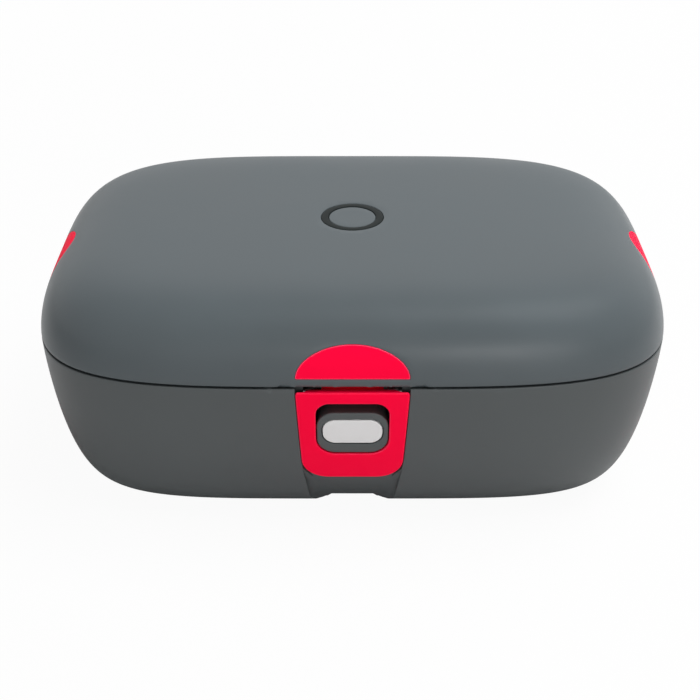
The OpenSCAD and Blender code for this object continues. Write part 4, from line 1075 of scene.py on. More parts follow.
def keeper_outline(rows, side, grow):
    """Half disc standing on its flat side, as (u, v) points."""
    r = KEEPER_CORNER
    x = KEEPER_HALF + grow
    low = KEEPER_LOW_Z - grow
    a = np.linspace(0, math.pi, 70)
    arc = np.stack([x * np.cos(a), KEEPER_LOW_Z + (KEEPER_H[side] + grow) * np.sin(a)], axis=1)
    arc = arc[(arc[:, 1] > low + r)]
    points = [(x - r + r * math.cos(t), low + r + r * math.sin(t)) for t in np.linspace(-math.pi / 2, 0, 6)]
    points += [tuple(p) for p in arc[1:-1] if p[1] > low + r + 0.3]
    points += [(-x + r + r * math.cos(t), low + r + r * math.sin(t))
               for t in np.linspace(math.pi, 1.5 * math.pi, 6)]
    points = np.array(points + [tuple(p) for p in between(points[-1], points[0], 1.5)[1:]])
    return np.stack([points[:, 0] + MIDDLE[side], v_of(rows, points[:, 1])], axis=1)


def lid_side(surface, rows, side, u0, u1):
    """Side patch of the lid with its keeper recess."""
    v_rim = rows["v"][0]
    v_top = rows["v"][-1]
    edge = keeper_outline(rows, side, KEEPER_GAP)
    depth = KEEPER_T + KEEPER_GAP
    steps = rounding(KEEPER_MOUTH, 4) + [(-drop, depth - shift) for shift, drop in rounding(KEEPER_FOOT, 4)]
    surface.tube([on_side(rows, side, widen(edge, True, shift), d) for shift, d in steps])
    surface.patch([widen(edge, True, -KEEPER_FOOT)], 2.5, lambda flat: on_side(rows, side, flat, depth))
    left, right = (np.stack([np.full(len(rows["v"]), u), rows["v"]], axis=1) for u in (u0, u1))
    loop = np.concatenate([left[:-1], between((u0, v_top), (u1, v_top)), right[::-1][:-1],
                           between((u1, v_rim), (u0, v_rim))])
    surface.patch([loop, widen(edge, True, KEEPER_MOUTH)], 2.0, lambda flat: on_side(rows, side, flat))


print("keeper outline:", len(keeper_outline(LID_ROWS, "front", 0.0)), "points")


# %% Lid shell
HOLE_GAP = 0.1
HOLE_MOUTH = 0.4
HOLE_POINTS = 96
LID_CEILING_Z = TOP_Z - 2.8
LID_WALL_HEIGHTS = (LID_RIM_Z, 78.0, 80.0, 84.0, 88.0, 92.0, 96.0, 99.0, 101.5, 103.5, 104.8)
LID_STEP_Z = 80.0
LID_U = 30.0
LID_NEAR_U = 33.0
LID_KNUCKLE_HALF = 4.7


def lid_shell():
    rows = LID_ROWS
    shell = Surface()
    lid_side(shell, rows, "front", -LID_U, LID_U)
    lid_side(shell, rows, "left", -LID_U, LID_NEAR_U)
    lid_side(shell, rows, "right", -LID_NEAR_U, LID_U)
    shell.grid(strip(rows, ("front", LID_U), ("right", -LID_NEAR_U), 64))
    shell.grid(strip(rows, ("right", LID_U), ("left", -LID_U), 190))
    shell.grid(strip(rows, ("left", LID_NEAR_U), ("front", -LID_U), 64))
    hole = RING_R + HOLE_GAP
    rings = [level(circle(hole + shift, HOLE_POINTS), LID_SKIN_Z - drop)
             for shift, drop in rounding(HOLE_MOUTH, 5)]
    shell.tube(rings + [level(circle(hole, HOLE_POINTS), LID_CEILING_Z)])
    cap_flat(shell, LID_SKIN_Z)
    wall = []
    for z in LID_WALL_HEIGHTS:
        above = z > LID_STEP_Z
        hx, hy, n = halves(LID, curl_at(LID, min(z + (2.0 if above else 0.0), TOP_Z - 1.2)))
        inset = WALL - 0.4 if above else WALL
        wall.append(level(even_ring(hx - inset, hy - inset, n, 240), z))
    hx, hy, n = halves(LID, curl_at(LID, TOP_Z - 0.8))
    wall.append(level(even_ring(hx - 2.2, hy - 2.2, n, 240), LID_CEILING_Z))
    shell.tube(wall)
    cap_flat(shell, LID_CEILING_Z, 6.0)
    cap_flat(shell, LID_RIM_Z)
    for x in (-HINGE_X, HINGE_X):
        prism(shell, [hinge_profile(True), circle(LID_BORE_R, 32)], at_hinge, x - LID_KNUCKLE_HALF,
              x + LID_KNUCKLE_HALF)
    block = outline([(-6.8, 0.5, 1.2), (-1.0, 0.5, 1.2), (4.2, -1.5, 2.5), (4.0, 9.0, 4.0),
                     (-2.5, 12.4, 3.0), (-6.8, 12.4, 1.2)], 1.0)
    prism(shell, [block], at_hinge, *LEAD_ARM, LEAD_ARM_ROUND)
    prism(shell, [circle(KNUCKLE_R, 48)], at_hinge, *LEAD_ARM, LEAD_BARREL_ROUND)
    build("lid_shell", shell, "lid", "lid_plastic")


lid_shell()

# %% [markdown]
# ## Latches and keepers
# A latch is a curved plate with a hinge barrel and a hooked tongue behind its top edge. The front
# one has a window for the release button. The tongue is one outline pushed through a width, which
# is how such a part is drawn in a mould tool.

# %% Plates that follow the shell
PLATE_TOP_CORNER = 1.2


def plate_outline(rows, side):
    r = PLATE_CORNER
    corner = PLATE_TOP_CORNER
    cx = PLATE_LOW_HALF - r
    top = PLATE_TOP_Z
    half = PLATE_HALF
    straight = top - PLATE_STRAIGHT
    rise = straight - PLATE_JOIN_Z
    tangent = math.atan2(rise, half - cx) - math.acos(r / math.hypot(rise, half - cx))
    right = [(cx + r * math.cos(a), PLATE_JOIN_Z + r * math.sin(a))
             for a in np.linspace(-math.pi / 2, tangent, 18)]
    right += [tuple(p) for p in between(right[-1], (half, straight), 1.6)[1:]]
    right += [tuple(p) for p in between((half, straight), (half, top - corner), 0.5)]
    right += [(half - corner + corner * math.cos(a), top - corner + corner * math.sin(a))
              for a in np.linspace(0, math.pi / 2, 6)]
    right = np.array(right)
    left = right[::-1] * [-1, 1]
    loop = np.concatenate([right, between(right[-1], left[0], 1.6)[1:], left,
                           between(left[-1], right[0], 1.6)[1:]])
    return np.stack([loop[:, 0] + MIDDLE[side], v_of(rows, loop[:, 1])], axis=1)


WINDOW_HALF = 14.7
WINDOW_LOW_Z = 41.9
WINDOW_TOP_Z = 68.5
WINDOW_LOW_R = 8.0
WINDOW_TOP_R = 5.6
BACK_ROUND = 0.25


def window_outline(rows):
    corners = [(-WINDOW_HALF, WINDOW_LOW_Z, WINDOW_LOW_R), (WINDOW_HALF, WINDOW_LOW_Z, WINDOW_LOW_R),
               (WINDOW_HALF, WINDOW_TOP_Z, WINDOW_TOP_R), (-WINDOW_HALF, WINDOW_TOP_Z, WINDOW_TOP_R)]
    loop = outline(corners, 1.2)
    return np.stack([loop[:, 0], v_of(rows, loop[:, 1])], axis=1)


def panel(surface, rows, side, loops, front, back, edge):
    """Curved plate with rounded edges, from depth front to the depth that back gives for each point."""
    rims = []
    for k, loop in enumerate(loops):
        inwards = -1 if turns_left(loop) == (k == 0) else 1
        rings = [(widen(loop, True, inwards * shift), front + drop) for shift, drop in rounding(edge, 5)]
        for shift, drop in rounding(BACK_ROUND, 5)[::-1]:
            ring = widen(loop, True, inwards * shift)
            rings.append((ring, back(ring) - drop))
        surface.tube([on_side(rows, side, uv, d) for uv, d in rings])
        rims.append((rings[0][0], rings[-1][0]))
    surface.patch([r[0] for r in rims], 2.0, lambda flat: on_side(rows, side, flat, front))
    surface.patch([r[1] for r in rims], 2.0, lambda flat: on_side(rows, side, flat, back(flat)))


print("plate and window outlines:", len(plate_outline(BASE_ROWS, "front")), "and",
      len(window_outline(BASE_ROWS)), "points")


# %% Latches
def tongue_outline():
    """Tongue, barrel and bridge to the plate, as (depth, z)."""
    points = [(2.4, 73.6), (6.2, 73.6), (6.2, 83.2), (4.4, 83.2), (4.4, 84.0), (6.2, 85.6), (9.0, 85.6)]
    points += [(9.0, 72.0)]
    points += [(PIVOT_DEPTH + 3 * math.cos(a), PIVOT_Z + 3 * math.sin(a))
               for a in np.linspace(0.3, -math.pi / 2 - 0.9, 20)]
    points += [(2.4, 69.2)]
    return np.array(points)


TONGUE_HALF = 12.35
RELIEF_T = 1.05
RELIEF_U = 17.4
RELIEF_U_SPAN = 1.5
RELIEF_Z = 65.0
RELIEF_Z_SPAN = 2.5


def latch(side):
    rows = BASE_ROWS
    plate = Surface()

    def thinned(uv):
        """Back of the plate; its upper corners are thin, so that they clear the recess as it swings."""
        outwards = np.clip((np.abs(uv[:, 0] - MIDDLE[side]) - RELIEF_U) / RELIEF_U_SPAN, 0, 1)
        upwards = np.clip((z_of(rows, uv[:, 1]) - RELIEF_Z) / RELIEF_Z_SPAN, 0, 1)
        return PLATE_T - (PLATE_T - RELIEF_T) * outwards * upwards

    loops = [plate_outline(rows, side)]
    if side == "front":
        loops.append(window_outline(rows))
    panel(plate, rows, side, loops, 0.0, thinned, 0.55)

    def across(flat, u):
        return put(side, u + MIDDLE[side], SIDES[side] - flat[:, 0], flat[:, 1])

    prism(plate, [tongue_outline(), circle(LID_BORE_R, 32, PIVOT_DEPTH, PIVOT_Z)], across, -TONGUE_HALF,
          TONGUE_HALF, 0.3)
    build(side + "_latch", plate, side + "_latch", "red_plastic")


for side_name in SIDES:
    latch(side_name)


# %% Keepers
KEEPER_PROUD = 0.12


def even_back(uv):
    return np.full(len(uv), KEEPER_T)


def keeper(side):
    rows = LID_ROWS
    disc = Surface()
    panel(disc, rows, side, [keeper_outline(rows, side, 0.0)], -KEEPER_PROUD, even_back, 0.4)
    catch = outline([(-12, 80.7, 0.4), (12, 80.7, 0.4), (12, 83.0, 0.4), (-12, 83.0, 0.4)], 4)

    def inwards(flat, depth):
        return sunk(side, flat + [MIDDLE[side], 0], depth)

    prism(disc, [catch], inwards, 0.9, 6.0, 0.3)
    build(side + "_keeper", disc, "lid", "red_plastic")


for side_name in SIDES:
    keeper(side_name)

# %% [markdown]
# ## Button housing, release button and its spring
# Behind the latch's window a housing fills most of the pocket, and a pale pill-shaped button sits
# in it. Both follow the curve of the front. Their edges are rounded by stacking a few slightly
# smaller outlines, because that small round is what catches the light and makes plastic look moulded.

# %% Pill outline and rings round its edge
HOUSING_DEPTH = 0.45
HOUSING_ROUND = 0.6
PILL_W = 24.2
PILL_H = 12.6
PILL_R = 5.4
PILL_MID_Z = 53.9
PILL_DEPTH = 0.5
PILL_IN = 8.0
PILL_GAP = 0.3
SPRING_SEAT = 12.6
STEM_R = 2.4
STEM_TIP_R = STEM_R - 0.4
STEM_LENGTH = 3.9
HOLE_EDGE = 0.25
PILL_ROUND = 0.45
PILL_TRIM = 0.1


def pill_outline(grow):
    w = PILL_W / 2 + grow
    h = PILL_H / 2 + grow
    r = PILL_R + grow
    return outline([(-w, PILL_MID_Z - h, r), (w, PILL_MID_Z - h, r), (w, PILL_MID_Z + h, r),
                    (-w, PILL_MID_Z + h, r)], 1.0)


def on_front(flat, depth):
    """Points (u, z) laid at a depth under the front skin."""
    uv = np.stack([flat[:, 0], v_of(BASE_ROWS, flat[:, 1])], axis=1)
    return on_side(BASE_ROWS, "front", uv, depth)


def straight_in(flat, depth):
    return sunk("front", flat, depth)


def edge_rings(loop, depth, round_edge, inwards, steps=6):
    """Rings that turn from the face over a rounded edge to the side wall."""
    return [on_front(widen(loop, True, inwards * shift), depth + drop)
            for shift, drop in rounding(round_edge, steps)]


print("pill outline:", len(pill_outline(0.0)), "points")


# %% Button housing and release button
def button_housing():
    piece = Surface()
    w = WINDOW_HALF - 0.35
    low = WINDOW_LOW_Z + 0.45
    top = WINDOW_TOP_Z - 4.75
    loop = outline([(-w, low, 7.65), (w, low, 7.65), (w, top, 7.2), (-w, top, 7.2)], 1.2)
    piece.tube(edge_rings(loop, HOUSING_DEPTH, HOUSING_ROUND, -1) + [straight_in(loop, POCKET_DEPTH)])
    hole = pill_outline(PILL_GAP)
    piece.tube(edge_rings(hole, HOUSING_DEPTH, HOLE_EDGE, 1, 4) + [straight_in(hole, SPRING_SEAT)])
    piece.patch([widen(loop, True, -HOUSING_ROUND), widen(hole, True, HOLE_EDGE)], 1.6,
                lambda flat: on_front(flat, HOUSING_DEPTH))
    stem = circle(STEM_R + 0.1, 40, 0, PILL_MID_Z)
    piece.patch([hole, stem], 2.5, lambda flat: straight_in(flat, SPRING_SEAT))
    piece.tube([straight_in(stem, SPRING_SEAT), straight_in(stem, POCKET_DEPTH)])
    piece.patch([loop, stem], 3.0, lambda flat: straight_in(flat, POCKET_DEPTH))
    build("button_housing", piece, "base", "base_plastic")


def release_button():
    piece = Surface()
    loop = pill_outline(-PILL_TRIM)
    piece.tube(edge_rings(loop, PILL_DEPTH, PILL_ROUND, -1) + [straight_in(loop, PILL_IN)])
    piece.patch([widen(loop, True, -PILL_ROUND)], 1.4, lambda flat: on_front(flat, PILL_DEPTH))
    stem = circle(STEM_R, 40, 0, PILL_MID_Z)
    tip = circle(STEM_TIP_R, 40, 0, PILL_MID_Z)
    end = PILL_IN + STEM_LENGTH
    piece.patch([loop, stem], 2.5, lambda flat: straight_in(flat, PILL_IN))
    piece.tube([straight_in(stem, PILL_IN), straight_in(stem, end - 0.4), straight_in(tip, end)])
    piece.patch([tip], 1.5, lambda flat: straight_in(flat, end))
    build("release_button", piece, "release_button", "pale_plastic")


button_housing()
release_button()

# %% [markdown]
# ## Release button's spring
# A coil spring pushes the button back out.

# %% Release spring
WIRE_SIDES = 10


def wire_tube(surface, path, r):
    """Round wire along a path, with a frame carried from point to point so that it never twists."""
    path = np.asarray(path, float)
    tangent = np.gradient(path, axis=0)
    tangent /= np.linalg.norm(tangent, axis=1)[:, None]
    side = np.cross(tangent[0], [0.31, 0.92, 0.23])
    rings = []
    for p, t in zip(path, tangent):
        side = side - t * (side @ t)
        side /= np.linalg.norm(side)
        other = np.cross(t, side)
        rings.append([p + r * (math.cos(a) * side + math.sin(a) * other)
                      for a in np.arange(WIRE_SIDES) * 2 * math.pi / WIRE_SIDES])
    surface.tube(rings)
    for ring in (rings[0], rings[-1]):
        surface.add(ring, [tuple(range(WIRE_SIDES))])


WIRE_R = 0.35
RELEASE_COIL_R = 3.7
RELEASE_TURNS = 3.5


def release_spring():
    piece = Surface()
    rise = SPRING_SEAT - PILL_IN - 2 * WIRE_R - 0.1
    path = []
    for k in np.linspace(0, 1, 110):
        a = 2 * math.pi * RELEASE_TURNS * k
        path.append([RELEASE_COIL_R * math.cos(a), -HALF_D + PILL_IN + WIRE_R + 0.05 + rise * k,
                     PILL_MID_Z - RELEASE_COIL_R * math.sin(a)])
    wire_tube(piece, path, WIRE_R)
    obj = build("release_spring", piece, "base", "spring_steel")
    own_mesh(obj)


release_spring()

# %% [markdown]
# ## Power button and indicator ring
# Both are round, so a profile is turned about the vertical axis. The profile has short curves where
# the real parts have moulded rounds.

# %% Turned pieces
ON_AXIS = 1e-6
PROFILE_STEPS = 4


def rounded_profile(corners):
    """Open or closed profile of (r, z, radius) corners, with each corner turned by a small arc."""
    points = []
    count = len(corners)
    for i, (x, y, r) in enumerate(corners):
        p = np.array([x, y], float)
        if r <= 0 or i in (0, count - 1):
            points.append(p)
            continue
        a = np.array(corners[i - 1][:2], float) - p
        b = np.array(corners[i + 1][:2], float) - p
        a /= np.linalg.norm(a)
        b /= np.linalg.norm(b)
        for t in np.arange(PROFILE_STEPS + 1) / PROFILE_STEPS:
            points.append((p + a * r) * (1 - t) ** 2 + 2 * p * t * (1 - t) + (p + b * r) * t ** 2)
    return np.array(points)


def turned(surface, profile, centre=(0.0, 0.0), m=72):
    """Turns a profile about a vertical axis; ends on the axis close in a fan."""
    rings = [level(circle(r, m, *centre), z) for r, z in profile if r > ON_AXIS]
    surface.tube(rings)
    for end, ring in ((profile[0], rings[0]), (profile[-1], rings[-1])):
        if end[0] < ON_AXIS:
            surface.add(np.concatenate([ring, [[*centre, end[1]]]]), [(i, (i + 1) % m, m) for i in range(m)])


print("a square corner with a round:", len(rounded_profile([(0, 0, 0), (1, 0, 0.2), (1, 1, 0)])), "points")


# %% Indicator ring and power button
RING_LOW_Z = 103.2
RING_TOP_Z = 107.9
CAP_TOP_Z = 107.8
RING_SEAT_Z = 104.5
PLUNGER_TOP_Z = 76.0 + 16.4 + 1.6 + 4.6


def indicator_ring():
    piece = Surface()
    r = CAP_R + 0.15
    flange = RING_R + 1.8
    flange_z = TOP_Z - 2.85
    corners = [(r, RING_SEAT_Z, 0), (r, RING_TOP_Z, 0.45), (RING_R, RING_TOP_Z, 0.45), (RING_R, flange_z, 0),
               (flange, flange_z, 0.2), (flange, RING_LOW_Z, 0.2), (r, RING_LOW_Z, 0.2), (r, RING_SEAT_Z, 0)]
    turned(piece, rounded_profile(corners))
    build("indicator_ring", piece, "lid", "black_gloss")


def power_button():
    piece = Surface()
    low = RING_LOW_Z - 0.2
    corners = [(0, CAP_TOP_Z - 0.15, 0), (6, CAP_TOP_Z - 0.08, 0), (CAP_R, CAP_TOP_Z, 0.5),
               (CAP_R, low, 0), (CAP_R + 1.6, low, 0.2), (CAP_R + 1.6, low - 1.0, 0.2),
               (CAP_R - 1.4, low - 1.0, 0.2), (CAP_R - 1.4, CAP_TOP_Z - 2, 0.4), (2, CAP_TOP_Z - 2, 0.4),
               (2, PLUNGER_TOP_Z, 0.2), (0, PLUNGER_TOP_Z, 0)]
    turned(piece, rounded_profile(corners))
    build("power_button", piece, "power_button", "lid_plastic")


indicator_ring()
power_button()

# %% [markdown]
# ## Steel dish and its seat
# The dish is pressed from thin sheet: one profile goes down the wall, round a wide fillet and out
# over the floor, and is swept round a rounded rectangle. Each ring of the sweep keeps the corner
# centres and only changes its distance from them, as a press tool does.

# %% Rounded rectangles and their sweep
CORNER_STEPS = 14
SIDE_STEP = 6.0


def rounded_loop(w, d, r, grow):
    """Rounded rectangle whose corner centres stay put while its radius grows."""
    radius = r + grow
    cx = w / 2 - r
    cy = d / 2 - r
    points = []
    for qx, qy, start in ((1, 1, 0), (-1, 1, 1), (-1, -1, 2), (1, -1, 3)):
        arc = [(qx * cx + radius * math.cos(a), qy * cy + radius * math.sin(a))
               for a in np.linspace(start * math.pi / 2, (start + 1) * math.pi / 2, CORNER_STEPS)]
        points.append(np.array(arc))
    loop = []
    for i, arc in enumerate(points):
        following = points[(i + 1) % 4]
        length = 2 * (cx if i % 2 == 0 else cy)
        n = max(2, int(length / SIDE_STEP))
        join = arc[-1] + (following[0] - arc[-1]) * (np.arange(1, n) / n)[:, None]
        loop.extend([arc, join])
    return np.concatenate(loop)


def swept_rings(surface, w, d, r, profile):
    rings = [level(rounded_loop(w, d, r, x), z) for x, z in profile]
    surface.tube(rings)
    return rings


print("rounded rectangle of 176 by 116 mm:", len(rounded_loop(176.0, 116.0, 24.0, 0.0)), "points")


# %% Steel dish
DISH_W = 176.0
DISH_D = 116.0
DISH_R = 24.0
DISH_T = 0.6
DISH_FILLET = 7.0
DISH_LOW_Z = 30.05
DISH_RIM_Z = 76.2
DISH_RIM = 4.2
DISH_BEND = 1.0
DISH_UNDER_BEND = 0.4


def steel_dish():
    piece = Surface()
    inner = []
    outer = []
    rim_out = -DISH_T + DISH_RIM
    for a in np.linspace(0, math.pi / 2, 8):
        inner.append((-DISH_FILLET + (DISH_FILLET - DISH_T) * math.sin(a),
                      DISH_LOW_Z + DISH_FILLET - (DISH_FILLET - DISH_T) * math.cos(a)))
        outer.append((-DISH_FILLET + DISH_FILLET * math.sin(a),
                      DISH_LOW_Z + DISH_FILLET - DISH_FILLET * math.cos(a)))
    for z in (45.0, 55.0, 65.0, 74.6):
        inner.append((-DISH_T, z))
        outer.append((0.0, z))
    for a in np.linspace(0, math.pi / 2, 5)[1:]:
        out = 1 - math.cos(a)
        up = math.sin(a) - 1
        inner.append((-DISH_T + DISH_BEND * out, DISH_RIM_Z + DISH_BEND * up))
        outer.append((DISH_UNDER_BEND * out, DISH_RIM_Z - DISH_T + DISH_UNDER_BEND * up))
    curl = [(rim_out - 0.4 + 0.5 * math.sin(a), DISH_RIM_Z - 0.5 + 0.5 * math.cos(a))
            for a in np.linspace(0, math.pi * 1.25, 9)]
    profile = inner + curl + outer[::-1]
    rings = swept_rings(piece, DISH_W, DISH_D, DISH_R, profile)
    for ring in (rings[0], rings[-1]):
        piece.patch([ring[:, :2]], 6.0, lambda flat: level(flat, ring[0, 2]))
    build("steel_dish", piece, "base", "dish_steel")


steel_dish()

# %% [markdown]
# ## Deck and well
# One plastic moulding holds the dish: a deck closes the base at its rim, and a well hangs from it.
# The deck steps round the latch pockets, so its outline is the shell's own curve with three
# notches. The well uses the same sweep as the dish, a little wider, so that the dish lifts out.

# %% Deck outline with its notches
DECK_TOP_Z = 75.1
DECK_LOW_Z = 72.9
DECK_INSET = WALL + 0.9
DECK_NOTCH_HALF = 25.75
DECK_NOTCH_DEPTH = 17.6


def deck_loop():
    """Deck outline with three notches for the latch pockets."""
    hx, hy, n = halves(BASE, curl_at(BASE, DECK_LOW_Z))
    return notched(hx - DECK_INSET, hy - DECK_INSET, n, DECK_NOTCH_HALF, DECK_NOTCH_DEPTH)


def notched(hx, hy, n, half, depth):
    """Superellipse with a notch towards the middle of the front and of each end."""
    curve = plan_curve(hx, hy, n)
    order = ("front", "right", "left")

    def mouth(side, u):
        main, other = (hy, hx) if side == "front" else (hx, hy)
        return put(side, u, main * (1 - (abs(u) / other) ** n) ** (1 / n), 0.0)[:2]

    points = []
    for i, side in enumerate(order):
        low, high = MIDDLE[side] - half, MIDDLE[side] + half
        floor = SIDES[side] - depth
        foot, far_foot = (put(side, u, floor, 0.0)[:2] for u in (low, high))
        points += [between(mouth(side, low), foot, 2.0), between(foot, far_foot, 2.0),
                   between(far_foot, mouth(side, high), 2.0)]
        following = order[(i + 1) % 3]
        piece = span_between(curve, mouth(side, high), mouth(following, MIDDLE[following] - half))
        points.append(resample(piece, 150 if side == "right" else 60)[:-1])
    return np.concatenate(points)


print("deck outline:", len(deck_loop()), "points")


# %% Inner tub
TUB_W = 178.4
TUB_D = 118.4
TUB_R = 25.2
TUB_WALL = 2.0
TUB_FLOOR_LOW_Z = 25.5
TUB_FLOOR_Z = 27.5
WELL_W = 148.0
WELL_D = 86.0
WELL_R = 16.0
POST = (82.0, 22.0)
DECK_ROUND = 0.4
WELL_ROUND = 0.6
WELL_FILLET = 4.0
POST_LOW_Z = 4.3


def inner_tub():
    piece = Surface()
    loop = deck_loop()
    edge = [(widen(loop, True, -shift), DECK_TOP_Z - drop) for shift, drop in rounding(DECK_ROUND, 4)]
    piece.tube([level(r, z) for r, z in edge + [(loop, DECK_LOW_Z)]])
    mouth = rounded_loop(TUB_W, TUB_D, TUB_R, WELL_ROUND)
    piece.patch([edge[0][0], mouth], 5.0, lambda flat: level(flat, DECK_TOP_Z))
    bend_z = TUB_FLOOR_Z + WELL_FILLET
    well = [(shift, DECK_TOP_Z - drop) for shift, drop in rounding(WELL_ROUND, 5)]
    well += [(0.0, z) for z in (60.0, 45.0, bend_z)]
    well += [(-WELL_FILLET * (1 - math.cos(a)), bend_z - WELL_FILLET * math.sin(a))
             for a in np.linspace(0, math.pi / 2, 6)[1:]]
    rings = swept_rings(piece, TUB_W, TUB_D, TUB_R, well)
    under = [(TUB_WALL, DECK_LOW_Z), (TUB_WALL, 45.0), (TUB_WALL, TUB_FLOOR_LOW_Z)]
    out_rings = swept_rings(piece, TUB_W, TUB_D, TUB_R, under)
    opening = rounded_loop(WELL_W, WELL_D, WELL_R, 0.0)
    piece.patch([rings[-1][:, :2], opening], 6.0, lambda flat: level(flat, TUB_FLOOR_Z))
    piece.patch([out_rings[-1][:, :2], opening], 6.0, lambda flat: level(flat, TUB_FLOOR_LOW_Z))
    piece.tube([level(opening, TUB_FLOOR_Z), level(opening, TUB_FLOOR_LOW_Z)])
    piece.patch([loop, out_rings[0][:, :2]], 6.0, lambda flat: level(flat, DECK_LOW_Z))
    post = [(0, POST_LOW_Z), (1.5, POST_LOW_Z), (3.4, POST_LOW_Z), (3.4, 24.5), (4.4, TUB_FLOOR_LOW_Z),
            (0, TUB_FLOOR_LOW_Z)]
    for place in four(*POST):
        turned(piece, post, place, 40)
    build("inner_tub", piece, "base", "deck_plastic")


inner_tub()

# %% [markdown]
# ## Inside of the lid
# A pale liner closes the lid from below, with screws in its corners and a soft seal that presses on
# the dish's rim. Above the liner lies a block of foam. The foam is not a hard block, so its edges
# are soft and its faces swell a little between them.

# %% Lid liner
LINER_Z = 80.0
LINER_TOP_Z = 82.0
LID_BOSS = (98.0, 58.0)
LINER_INSET = WALL + 0.7
LINER_NOTCH_HALF = 15.35
LINER_NOTCH_DEPTH = 20.0


def lid_liner():
    piece = Surface()
    hx, hy, n = halves(LID, curl_at(LID, LINER_Z))
    loop = notched(hx - LINER_INSET, hy - LINER_INSET, n, LINER_NOTCH_HALF, LINER_NOTCH_DEPTH)
    holes = [circle(1.7, 24, x, y) for x, y in four(*LID_BOSS)]
    prism(piece, [loop] + holes, level, LINER_Z, LINER_TOP_Z, 0.4, 6.0)
    build("lid_liner", piece, "lid", "liner_plastic")


lid_liner()


# %% Lid seal
SEAL_R = 27.5


def lid_seal():
    piece = Surface()
    section = [(25.0, 80.0, 0), (27.5, 80.0, 0.3), (27.5, 77.4, 0.4), (26.9, 76.5, 0.2), (24.6, 76.5, 0.5),
               (23.9, 76.9, 0.3), (22.5, 77.6, 0.3), (22.5, 80.0, 0.3), (25.0, 80.0, 0)]
    swept_rings(piece, 183.0, 123.0, SEAL_R, [(x - SEAL_R, z) for x, z in rounded_profile(section)])
    build("lid_seal", piece, "lid", "silicone")


lid_seal()


# %% Foam in the lid and fibre pad under the heater
SWELL_REACH = 9.0


def soft_block(node, body, slot, size, r, z0, z1, edge, swell, holes=()):
    """Block of foam or fibre with soft edges, whose faces swell slightly away from its edges."""
    piece = Surface()
    profile = []
    for a in np.linspace(-math.pi / 2, math.pi / 2, 9):
        height = z0 + swell + edge if a < 0 else z1 - swell - edge
        profile.append((edge * (math.cos(a) - 1), height + edge * math.sin(a)))
    made = swept_rings(piece, *size, r, profile)

    def face(flat, ring, way):
        gap = np.array([np.min(np.hypot(*(ring[:, :2] - p).T)) for p in flat])
        rise = np.where(gap < 0.02, 0.0, swell * (1 - np.exp(-gap / SWELL_REACH)))
        return np.column_stack([flat, ring[0, 2] + way * rise])

    for ring, way in ((made[0], -1), (made[-1], 1)):
        piece.patch([ring[:, :2]] + list(holes), 5.0, lambda flat: face(flat, ring, way))
    for hole in holes:
        piece.tube([face(hole, made[0], -1), face(hole, made[-1], 1)])
    build(node, piece, body, slot)


soft_block("lid_insulation", "lid", "foam", (176.0, 116.0), 24.0, 82.05, 89.0, 1.2, 0.4)
stack = [circle(3.4, 32, x, y) for x, y in four(65.0, 34.0)] + [circle(8.4, 48, -30.0, 0.0)]
soft_block("insulation_pad", "base", "fibre_pad", (144.0, 82.0), 14.0, 23.0, 26.8, 0.6, 0.2, stack)

# %% [markdown]
# ## Underside
# The bottom cover is a flat panel set into the base, with a row of vent slots, four recessed screws
# and four rubber feet pressed into seats. It is drawn in plan and given a thickness, and the seats
# are turned into it.

# %% Bottom cover
COVER_TOP_Z = 4.0
FOOT = (68.0, 36.0)
FOOT_R = 6.5
FOOT_SEAT_Z = 2.7
SCREW_HEAD = 3.1
SCREW_SEAT_Z = 2.9
BOARD_POSTS = ((8.0, 72.0), (-21.0, 21.0))
BOARD_LOW_Z = 8.5
STANDOFF_R = 2.6
COVER_ROUND = 0.4
SLOT_ROUND = 0.25
FOOT_PLUG_R = 2.25
SCREW_HOLE_R = 1.6


def bottom_cover():
    piece = Surface()
    loop = even_ring(COVER_HW, COVER_HD, COVER_POWER, 220)
    rings = [level(widen(loop, True, -shift), UNDER_Z + drop) for shift, drop in rounding(COVER_ROUND, 4)]
    piece.tube(rings + [level(loop, COVER_TOP_Z)])
    under = [widen(loop, True, -COVER_ROUND)]
    above = [loop]
    for i in range(-4, 5):
        slot = outline([(-67, i * 5 - 0.9, 0.85), (-23, i * 5 - 0.9, 0.85), (-23, i * 5 + 0.9, 0.85),
                        (-67, i * 5 + 0.9, 0.85)], 4.0)
        bevel = [level(widen(slot, True, shift), UNDER_Z + drop) for shift, drop in rounding(SLOT_ROUND, 3)]
        piece.tube(bevel + [level(slot, COVER_TOP_Z)])
        under.append(widen(slot, True, SLOT_ROUND))
        above.append(slot)
    for feet, screws in zip(four(*FOOT), four(*POST)):
        for place, wide, seat, narrow in ((feet, FOOT_R + 0.1, FOOT_SEAT_Z, FOOT_PLUG_R),
                                          (screws, SCREW_HEAD, SCREW_SEAT_Z, SCREW_HOLE_R)):
            rim = circle(wide, 48, *place)
            stem = circle(narrow, 48, *place)
            piece.tube([level(rim, UNDER_Z), level(rim, seat), level(stem, seat), level(stem, COVER_TOP_Z)])
            under.append(rim)
            above.append(stem)
    piece.patch(under, 6.0, lambda flat: level(flat, UNDER_Z))
    piece.patch(above, 6.0, lambda flat: level(flat, COVER_TOP_Z))
    hole_z = BOARD_LOW_Z - 4.0
    foot_z = COVER_TOP_Z - 0.01
    tube = [(0.0, hole_z), (1.2, hole_z), (1.2, BOARD_LOW_Z), (STANDOFF_R, BOARD_LOW_Z),
            (STANDOFF_R, COVER_TOP_Z + 0.6), (STANDOFF_R + 0.6, foot_z), (0.0, foot_z)]
    for x in BOARD_POSTS[0]:
        for y in BOARD_POSTS[1]:
            turned(piece, tube, (x, y), 40)
    build("bottom_cover", piece, "base", "base_plastic")


bottom_cover()


